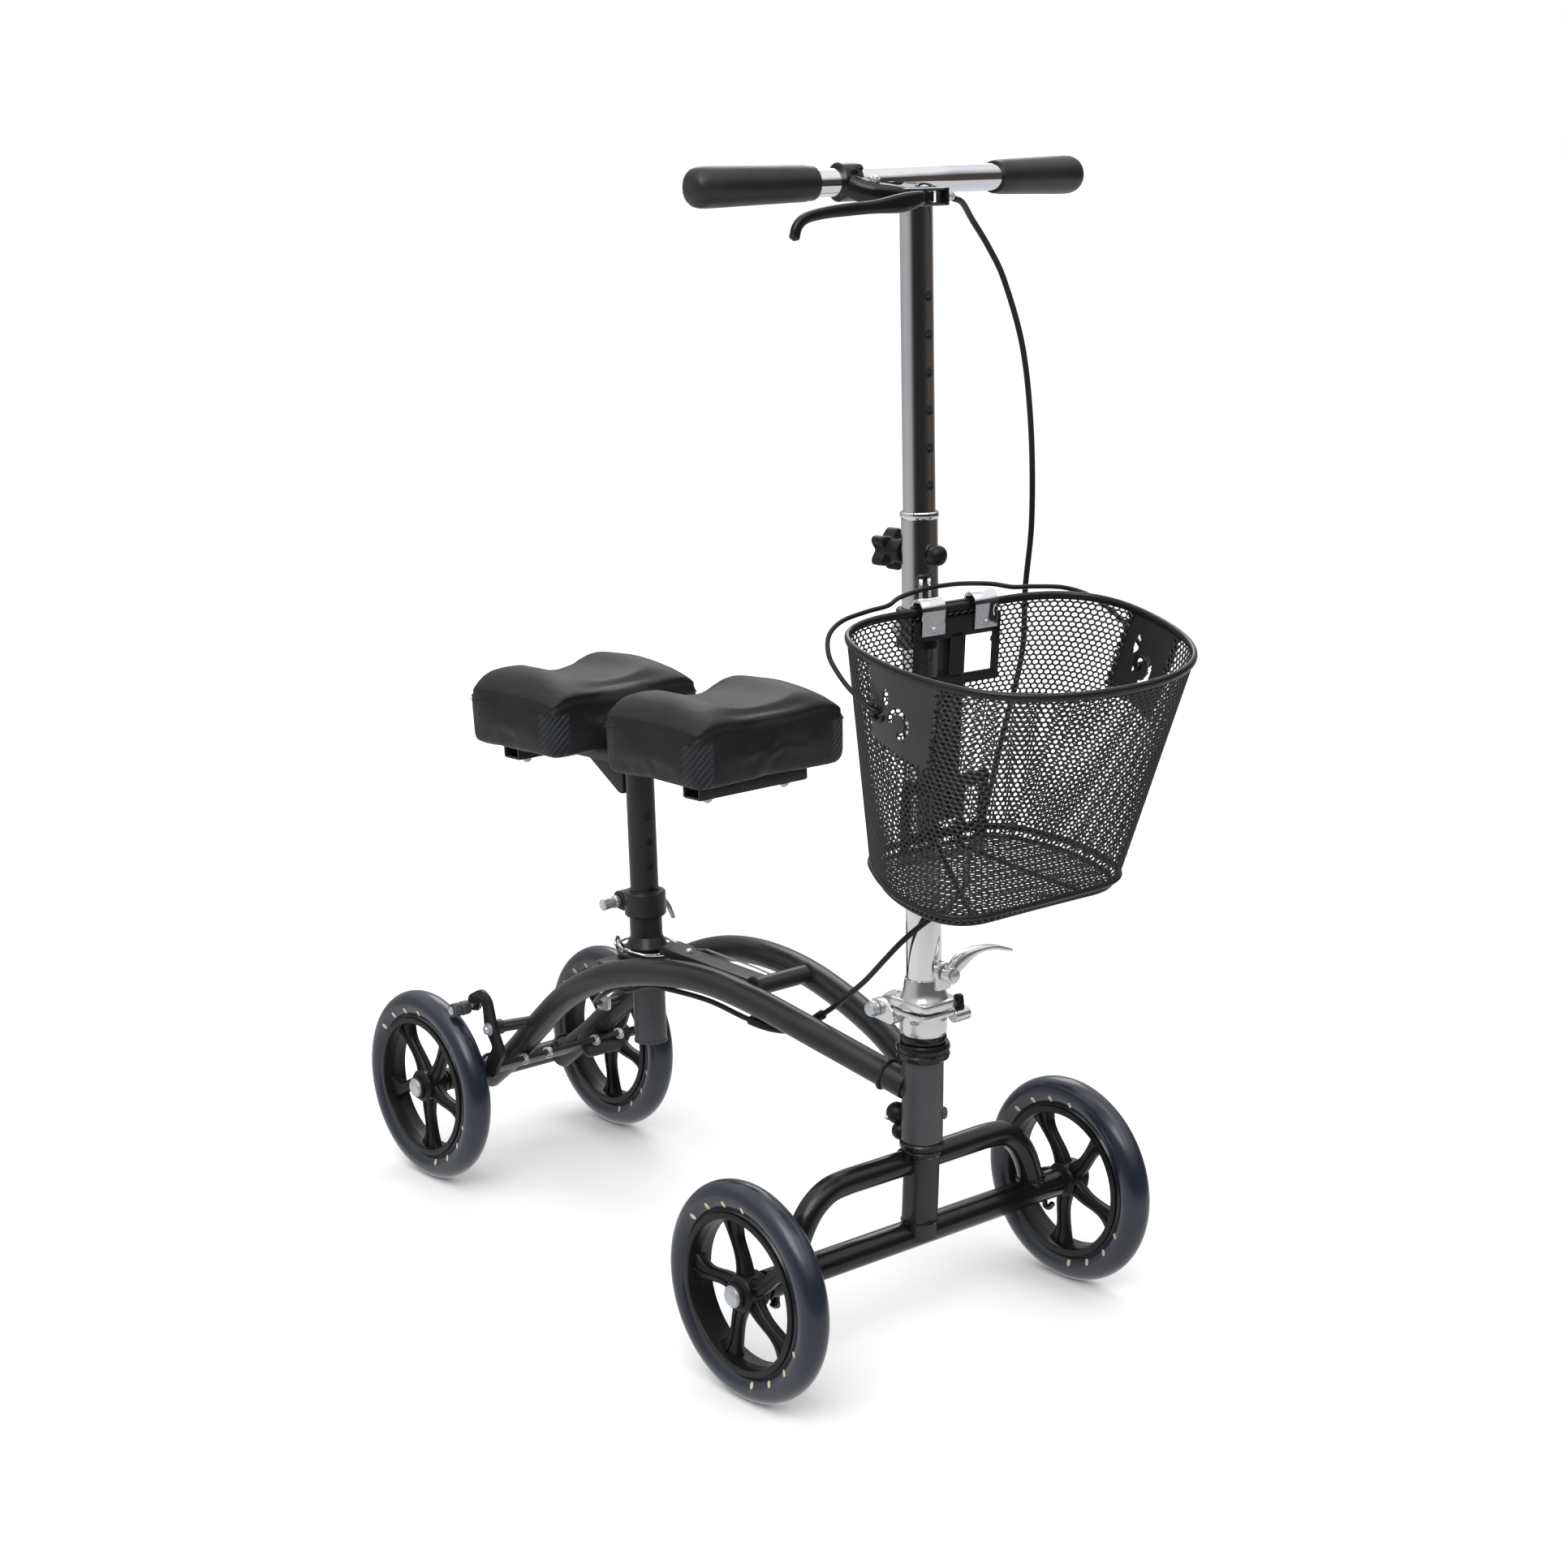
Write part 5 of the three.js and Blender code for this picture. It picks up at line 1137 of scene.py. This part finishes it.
free = smooth(CABLE_FREE, 240)
upper_end, lower_start = [int(np.argmin(np.linalg.norm(free - np.array(CABLE_FREE[k]), axis=1)))
        for k in (9, 19)]
cable("cable_upper", free[:upper_end + 1], blend=("column", "handlebar", row(134, -278, 640),
        row(40, -302, 956)), replaces=["brake_cable_free"])
cable("cable_middle", free[upper_end:lower_start + 1], blend=("steering", "column", row(-28, -284, 350),
        row(0, -320, 395)))
cable("cable_lower", free[lower_start:], blend=("frame", "steering", row(-14.5, -195, 277),
        row(-27, -270, 337)))
cable("cable_rear_look", smooth(CABLE_REAR, 120), "frame", replaces=["brake_cable_frame"])
clip = Piece("cable_clip_look")
rear = smooth(CABLE_REAR, 120)
clip.add(sweep(np.vstack([free[-4:], rear[1:22]]), 4.3, 20), PLASTIC)
clip.add(eased(block(-24, -17, -182, -172, 260, 267), 1.4), PLASTIC)
clip.make("frame", ["cable_clip"])
tail = Piece("cable_stop_look")
tail.add(turned([(2.6, 0), (4.1, 0), (4.1, 2), (3.5, 2.4), (3.5, 8.6), (2.2, 9.2), (2.2, 14), (1.2, 14)],
                24), ZINC, place_on((14.6, 178.6, 181.6), (16, 16, -8)))
tail.add(eased(prism(fillet([(170, 174), (188, 172), (190, 184), (184, 190), (170, 190)], 4), 17, 21),
               0.8), ZINC, SIDEWAYS)
tail.add(sweep([(20, 183, 178), (46, 181, 180)], 3.4, 16), POWDER)
tail.make("frame", ["cable_stop"])

# ---- rear brake ----
PIVOT, SHOE = (212.0, 170.0), (241.0, 186.5)
for side, sign in SIDES:
    bracket = Piece(f"brake_bracket_look_{side}")
    bracket.add(sweep([(sign * 48, 198, 172), (sign * 84, PIVOT[0], PIVOT[1])], 5.6, 20, wide=7), POWDER)
    bracket.add(eased(turned([(0, 0), (7.4, 0), (7.4, 9), (0, 9)], 28), 0.8), POWDER,
                place_on((sign * 81.5, *PIVOT), (sign, 0, 0)))
    bracket.add(sweep([(sign * 88, *PIVOT), (sign * 97, *PIVOT)], 3.4, 16), ZINC)
    bracket.bolt((sign * 96.3, *PIVOT), (sign, 0, 0), 5.4, ZINC, head=3.2, washer=1)
    bracket.make("frame", [f"brake_bracket_{side}"])

yoke = Piece("brake_yoke_look")
arm = fillet([(232, 194, 5), (237, 181, 5), (250, 184, 5), (248, 196, 6), (226, 208, 8), (212, 200, 5),
              (203, 172, 6), (190, 150, 6), (200, 136, 7), (206, 120, 6), (220, 121, 6), (219, 138, 5),
              (208, 152, 5), (221, 168, 5), (224, 192, 6)], 5, 5)
for sign in (-1, 1):
    x0, x1 = sorted((sign * 91.2, sign * 95.8))
    yoke.add(eased(prism(arm, x0, x1), 0.9, 2, 40), PLATE, SIDEWAYS)
    yoke.add(sweep([(sign * 92, *SHOE), (sign * 121, *SHOE)], 2.4, 14), ZINC)
    yoke.bolt((sign * 120, *SHOE), (sign, 0, 0), 4.0, ZINC, head=2.4, nut=False)
    yoke.bolt((sign * 91.2, *SHOE), (-sign, 0, 0), 5.0, ZINC, head=3.2, washer=1)
yoke.add(eased(block(-95, 95, -2.6, 2.6, -8.6, 8.6), 1.0), POWDER,
         Matrix.Translation((0, 213, 128)) @ Matrix.Rotation(0.85, 4, "X"))
for x in (-57, -28, 30, 60):
    yoke.bolt((x, 210.4, 130.4), (0, -0.75, 0.66), 5.0, ZINC, head=3.4, washer=1)
yoke.add(eased(prism(fillet([(16, -14), (62, -14), (62, 12), (16, 12)], 6), -7, -1.5), 1), POWDER,
         Matrix.Translation((0, 210, 130)) @ Matrix.Rotation(0.85, 4, "X"))
yoke.make("rear_brake", ["brake_yoke"])
for side, sign in SIDES:
    shoe = Piece(f"brake_shoe_look_{side}")
    pad = [(2.8, 0), (6.5, 0), (7, 1.2), (7, 8), (6, 9.2), (6, 10.6), (7, 12), (7, 17.6), (6.4, 18.8),
           (2.8, 18.8)]
    shoe.add(turned(pad, 40, closed=True), GREY_AND_PAINTED_REFLECTION, place_on((sign * 100.5, *SHOE), (sign, 0, 0)))
    shoe.make("rear_brake", [f"brake_shoe_{side}"])

# ---- basket ----
RIM = {"half": 130.0, "depth": 226.5, "height": 208.0, "corner": 78.0}
FLOOR = {"half": 96.0, "depth": 150.0, "shift": -8.0, "turn": math.radians(4.5)}
BAIL_Y, BAIL_Z = -92.0, RIM["height"] - 42


def bezier(points, count):
    """Points along a Bezier curve, without its last one."""
    out = []
    for t in np.linspace(0, 1, count, endpoint=False):
        p = np.array(points, float)
        while len(p) > 1:
            p = p[:-1] * (1 - t) + p[1:] * t
        out.append(p[0])
    return out


def rim_outline():
    h, d, c = RIM["half"], RIM["depth"], RIM["corner"]
    ring = bezier([(h - c, 0), (h, 0), (h, -c)], 40) + bezier([(h, -c), (h, -d * 0.8), (h * 0.62, -d),
            (0, -d)], 80)
    left = [(-x, y) for x, y in ring[::-1]]
    ring = [(float(x), float(y)) for x, y in ring] + [(0.0, -d)] + left
    return ring + [(c - h + (2 * (h - c)) * k / 30, 0.0) for k in range(1, 30)]


def floor_outline():
    """Narrow at the back, widest in the middle, with a straight front edge between round corners."""
    d = FLOOR["depth"]
    right = [(-66, 0, 32), (-99, -76, 60), (-89, -d, 48)]
    corners = right + [(-x, y, r) for x, y, r in right[::-1]]
    c, s = math.cos(FLOOR["turn"]), math.sin(FLOOR["turn"])
    return [(x * c - (y + d / 2) * s, x * s + (y + d / 2) * c - d / 2) for x, y in fillet(corners, 0, 10)]


def by_bearing(ring, half, depth):
    """An outline as its reach from the middle at each bearing, both scaled to a unit box."""
    ring, run = closed_run(ring)
    at = np.linspace(0, run[-1], 720, endpoint=False)
    x = np.interp(at, run, ring[:, 0]) / half
    y = np.interp(at, run, ring[:, 1]) / depth + 0.5
    bearing = np.arctan2(y, x)
    order = np.argsort(bearing)
    return bearing[order], np.hypot(x, y)[order]


RIM_RING, RIM_RUN = closed_run(rim_outline())
RUN = RIM_RUN[-1]
FLOOR_BEARING, FLOOR_REACH = by_bearing(floor_outline(), FLOOR["half"], FLOOR["depth"])


def on_wall(u, z, inset=0.0):
    """A point of the basket's wall: u once round from the back left, z up from the floor."""
    at = (u % 1.0) * RUN
    rim = np.array([np.interp(at, RIM_RUN, RIM_RING[:, k]) for k in (0, 1)])
    bearing = math.atan2(rim[1] / RIM["depth"] + 0.5, rim[0] / RIM["half"])
    reach = np.interp(bearing, FLOOR_BEARING, FLOOR_REACH, period=2 * math.pi)
    foot = np.array((FLOOR["shift"] + math.cos(bearing) * reach * FLOOR["half"],
                     (math.sin(bearing) * reach - 0.5) * FLOOR["depth"]))
    t = 1 - z / RIM["height"]
    place = rim * (1 - t) + foot * t
    depth = RIM["depth"] * (1 - t) + FLOOR["depth"] * t
    way = place - np.array((FLOOR["shift"] * t, -depth * 0.45))
    lip = 5.0 * max(0.0, 1 - z / 8.0) ** 2
    x, y = place - way / np.linalg.norm(way) * (lip + inset)
    return (float(x), float(y), float(z))


# the two side plates: where round the wall each one's lug is, and how far it runs to either hand
at_lug = [k / 400 for k in range(400) if abs(on_wall(k / 400, BAIL_Z)[1] - BAIL_Y) < 3.5]
LEFT_U = max(at_lug, key=lambda u: on_wall(u, BAIL_Z)[0])
RIGHT_U = min(at_lug, key=lambda u: on_wall(u, BAIL_Z)[0])
PLATE_BACK, PLATE_FRONT, PLATE_TOP = 34.0, 42.0, 204.0
RIGHT_PLATE_U = RIGHT_U - 24.0 / RUN  # the right plate stands further forward than its lug


def plate_spot(u, z):
    """Millimetres forward of and above the middle of the nearer side plate, along the wall."""
    forward_right = (RIGHT_PLATE_U - u) * RUN
    forward_left = (u - LEFT_U) * RUN
    return (forward_left if abs(forward_left) < abs(forward_right) else forward_right), z - BAIL_Z


def plate_edge(along):
    """The slanting, torn-off lower edge of a side plate."""
    return -30.0 - 0.12 * along + 2.2 * math.cos(along * 2 * math.pi / 6.4)


def in_plate(u, z, margin=0.0):
    along, up = plate_spot(u, z)
    return (-PLATE_BACK + margin < along < PLATE_FRONT - margin and up > plate_edge(along) + margin)


def solid_plate(u, z):
    """True where a side plate has metal: all but a C-shaped slot round its lug and a drop behind it."""
    along, up = plate_spot(u, z)
    far = math.hypot(along - 4, up + 3)
    bearing = math.degrees(math.atan2(up + 3, along - 4))
    slot = 8.0 < far < 13.6 and not -165 < bearing < -95
    drop = math.hypot((along + 13) / 3.6, (up - 15) / 7.5) < 1
    ragged = 1.8 * math.cos(up * 2 * math.pi / 6.4)
    inside = -PLATE_BACK + ragged < along < PLATE_FRONT - ragged and up > plate_edge(along)
    return inside and not slot and not drop


def honeycomb(cols, rows, where, skip=None):
    """Hexagonal cells in (column, row) steps, each mapped by where; returns points and faces."""
    index, points, faces = {}, [], []

    def corner(i2, j3):
        key = (i2 % (2 * cols), j3)
        if key not in index:
            index[key] = len(points)
            points.append(where(i2 / 2, j3 / 3))
        return index[key]

    for j in range(rows):
        for i in range(cols):
            a, b = 2 * i + (j % 2), 3 * j
            if skip and skip((a + 1) / 2, (b + 2) / 3):
                continue
            ring = ((a, b + 1), (a + 1, b), (a + 2, b + 1), (a + 2, b + 3), (a + 1, b + 4), (a, b + 3))
            faces.append(tuple(corner(*spot) for spot in ring))
    return points, faces


def wire_mesh(name, points, faces, replaces=()):
    """Turns the edges of a honeycomb into wires."""
    mesh = bpy.data.meshes.new(name)
    mesh.from_pydata([TO_ROW @ BASKET @ Vector(p) for p in points], [], faces)
    mesh.update()
    mesh.materials.append(MESH_COAT)
    made = bpy.data.objects.new(name, mesh)
    bpy.context.scene.collection.objects.link(made)
    wires = made.modifiers.new("wires", "WIREFRAME")
    wires.thickness = MESH_WIRE / 1000
    wires.use_even_offset = True
    wires.use_boundary = True
    settle(made)
    made.data.shade_smooth()
    made.data.set_sharp_from_angle(angle=math.radians(50))
    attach(made, "basket")
    if replaces:
        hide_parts(*replaces)


COLUMNS, ROWS, MESH_WIRE = 126, 50, 1.75
TOP_Z = RIM["height"] - 2


def cell_height(j):
    return 1.5 + (TOP_Z - 1.5) * min(1.0, j / (ROWS + 1 / 3))


def wall_cell(i, j):
    return on_wall(i / COLUMNS, cell_height(j))


def cut_away(i, j):
    """Cells missing behind the side plates and the back plate's windows."""
    u, z = i / COLUMNS, cell_height(j)
    x, y, z = on_wall(u, z)
    behind_back_plate = y > -4 and abs(x) < 39 and 145 < z < 198
    return behind_back_plate or in_plate(u, z, 3.5)


wire_mesh("basket_mesh", *honeycomb(COLUMNS, ROWS, wall_cell, cut_away), ["basket"])


def floor_mesh():
    """Cells across the floor, kept where they fall inside its outline."""
    inner = np.array([on_wall(k / 160, 1.5, 1.0)[:2] for k in range(160)])

    def inside(x, y):
        hit = False
        for (x0, y0), (x1, y1) in zip(inner, np.roll(inner, -1, 0)):
            if (y0 > y) != (y1 > y) and x < (x1 - x0) * (y - y0) / (y1 - y0) + x0:
                hit = not hit
        return hit

    step_x, step_y = 5.8, 4.5
    cols, rows = 38, 37
    points, faces = honeycomb(cols, rows, lambda i, j: (-120 + i * step_x, -165 + j * step_y, 1.5))
    kept = [f for f in faces if len(set(f)) == 6 and all(inside(*points[i][:2]) for i in f)
            and max(points[i][0] for i in f) - min(points[i][0] for i in f) < 20]
    used = sorted({i for f in kept for i in f})
    renumber = {old: new for new, old in enumerate(used)}
    return [points[i] for i in used], [tuple(renumber[i] for i in f) for f in kept]


wire_mesh("basket_floor_mesh", *floor_mesh())

hoops = Piece("basket_hoops")
rim_path = np.array([on_wall(k / 160, RIM["height"] - 1.5) for k in range(160)])
hoops.add(sweep(rim_path, 3.5, 14, wide=2.6, closed=True, up=(0, 0, 1)), WIRE, BASKET)
hoops.add(sweep([on_wall(k / 240, 9.0, -0.4) for k in range(240)], 2.4, 12, closed=True, up=(0, 0, 1)),
          WIRE, BASKET)
hoops.add(sweep([on_wall(k / 240, 1.6, 1.0) for k in range(240)], 2.2, 12, closed=True, up=(0, 0, 1)),
          WIRE, BASKET)
for x in (-62, 44):
    path = smooth([(x * 0.16, -8, 2.4), (x * 0.55, -66, 0.9), (x, -140, 2.4)], 40)
    hoops.add(sweep(path, 2.0, 12), WIRE, BASKET)
hoops.make("basket", angle=60)


SHEET = {"out": 0.9, "thick": 1.4, "cell": 1.4}


def wall_sheet(u0, u1, z0, z1, keep):
    """A sheet that follows the wall wherever keep is true, as a closed skin."""
    cols, rows = round((u1 - u0) * RUN / SHEET["cell"]), round((z1 - z0) / SHEET["cell"])
    us, zs = np.linspace(u0, u1, cols + 1), np.linspace(z0, z1, rows + 1)
    on = {(i, j) for i in range(cols) for j in range(rows)
          if keep((us[i] + us[i + 1]) / 2, (zs[j] + zs[j + 1]) / 2)}
    index, points, faces = {}, [], []

    def corner(i, j, layer):
        if (i, j, layer) not in index:
            index[(i, j, layer)] = len(points)
            points.append(on_wall(us[i], zs[j], -SHEET["out"] - SHEET["thick"] * layer))
        return index[(i, j, layer)]

    for i, j in sorted(on):
        square = [(i, j), (i + 1, j), (i + 1, j + 1), (i, j + 1)]
        faces.append(tuple(corner(*spot, 1) for spot in square))
        faces.append(tuple(corner(*spot, 0) for spot in square[::-1]))
        beside = ((i, j - 1), (i + 1, j), (i, j + 1), (i - 1, j))
        for neighbour, a, b in zip(beside, square, square[1:] + square[:1]):
            if neighbour not in on:
                faces.append((corner(*a, 0), corner(*b, 0), corner(*b, 1), corner(*a, 1)))
    return np.array(points), faces


lugs = Piece("basket_side_plates")
for centre, middle, back, front in ((LEFT_U, LEFT_U, -PLATE_BACK, PLATE_FRONT),
                                    (RIGHT_U, RIGHT_PLATE_U, -PLATE_FRONT, PLATE_BACK)):
    u0, u1 = middle + (back - 2) / RUN, middle + (front + 2) / RUN
    lugs.add(wall_sheet(u0, u1, BAIL_Z - 40, PLATE_TOP, solid_plate), MESH_COAT, BASKET)
    foot = Vector(on_wall(centre, BAIL_Z))
    way = Vector((1 if foot.x > 0 else -1, 0, 0))
    turns = np.linspace(-2.6, 2.4, 10)
    eye = smooth([foot + way * 2.8 + Vector((0, 8 * math.cos(a), 8 * math.sin(a))) for a in turns], 50)
    lugs.add(sweep(eye, 1.9, 12, rounded=True), WIRE, BASKET)
    lugs.add(sweep([foot, foot + way * 5.4], 3.2, 16, rounded=True), WIRE, BASKET)
lugs.make("basket")



def flat_bars(piece, boxes, corner, y0, y1, ease, look):
    """Upright flat bars against the basket's back, each from its x and z limits."""
    for x0, x1, z0, z1 in boxes:
        outline = fillet([(x0, z0), (x1, z0), (x1, z1), (x0, z1)], corner)
        piece.add(eased(prism(outline, y0, y1), ease), look, BASKET @ FACING)


plate = Piece("basket_back_plate_look")
flat_bars(plate, [(-41, 41, 183, 200), (-41, 41, 142, 151), (-41, -34, 148, 187), (-6, 6, 148, 187),
                  (34, 41, 148, 187)], 2.5, -5.6, -3.4, 0.6, WIRE)
plate.make("basket", ["basket_back_plate"])


def hook(centre):
    thick, top, front, bend = 2.0, RIM["height"], -8.6, 9.2
    runs = []
    for r in (bend, bend - thick):
        arc = [(front + bend - r * math.cos(a), top + r * math.sin(a)) for a in np.linspace(0, math.pi, 18)]
        runs.append([(front + bend - r, top - 20)] + arc + [(front + bend + r, top - 12)])
    return prism(runs[0] + runs[1][::-1], centre - 11, centre + 11)


for side, centre in (("right", -25), ("left", 25)):
    strip = Piece(f"basket_hook_look_{side}")
    strip.add(eased(hook(centre), 0.5, 2, 50), CHROME, BASKET @ SIDEWAYS)
    strip.bolt(BASKET @ Vector((centre, -8.6, 193)), BASKET.to_3x3() @ Vector((0, -1, 0)), 2.6, ZINC,
               head=1.6, nut=False)
    strip.make("basket", [f"basket_hook_{side}"])

bracket = Piece("basket_bracket_look")
flat_bars(bracket, [(-40, 40, 195, 211), (-40, -34, 180, 211), (34, 40, 180, 211)], 3, 2.0, 5.6, 0.8, POWDER)
flat_bars(bracket, [(-13, 13, 20, 204)], 4, 2.0, 4.8, 0.8, POWDER)
flat_bars(bracket, [(-42, 42, 48, 60), (-42, 42, 6, 14), (-42, 42, -14, -7), (-42, -33, -14, 60),
        (33, 42, -14, 60), (-13, -6, 0, 60), (12, 19, 0, 60)], 3, 0.7, 3.2, 0.6, POWDER)
bracket.add(eased(block(-11, 11, 4, 38, 176, 192), 2, 3), POWDER, BASKET)
bracket.add(turned([(15.7, 311), (19.4, 311), (20.3, 312.4), (20.3, 341.6), (19.4, 343), (15.7, 343)], 48,
        closed=True), POWDER, COLUMN)
bracket.bolt(COLUMN @ Vector((-20, 6, 327)), (-1, 0.2, 0), 4.6, ZINC, head=3, washer=1)
bracket.make("column", ["basket_bracket"])

side = RIM["half"]
limb = [(side - 4, 0, 0), (side + 1, 4, 2), (side + 6, 26, 11), (side + 7, 46, 20), (side + 4, 64, 28),
        (side - 6, 81, 37), (side - 24, 92, 43), (80, 97, 46), (60, 99, 47.5), (44, 107, 50),
        (20, 112, 52)]
route = ([(-x, BAIL_Y + y, BAIL_Z + z) for x, y, z in limb] + [(0, BAIL_Y + 113, BAIL_Z + 52.5)]
         + [(x, BAIL_Y + y, BAIL_Z + z) for x, y, z in limb[::-1]])
bail = Piece("basket_bail_look")
bail.add(sweep(smooth(route, 180), 2.0, 14, rounded=True), WIRE, BASKET)
bail.make("bail", ["basket_bail"])

# ---- floor ----
SPAN = 25.0
paper_sheet = bpy.data.meshes.new("floor")
paper_sheet.from_pydata([(-SPAN, -SPAN, 0), (SPAN, -SPAN, 0), (SPAN, SPAN, 0), (-SPAN, SPAN, 0)], [],
        [(0, 1, 2, 3)])
floor = bpy.data.objects.new("floor", paper_sheet)
bpy.context.scene.collection.objects.link(floor)
paper, tree, bsdf, coords = shader("floor_paper")
tone = tree.drifting(tree.noise(coords, 0.6, 2.0), (0.90, 0.90, 0.905), (0.92, 0.92, 0.92))
tree.feed(bsdf, {"Base Color": tone, "Roughness": 0.9, "Specular IOR Level": 0.1})
paper_sheet.materials.append(paper)
floor.visible_glossy = False
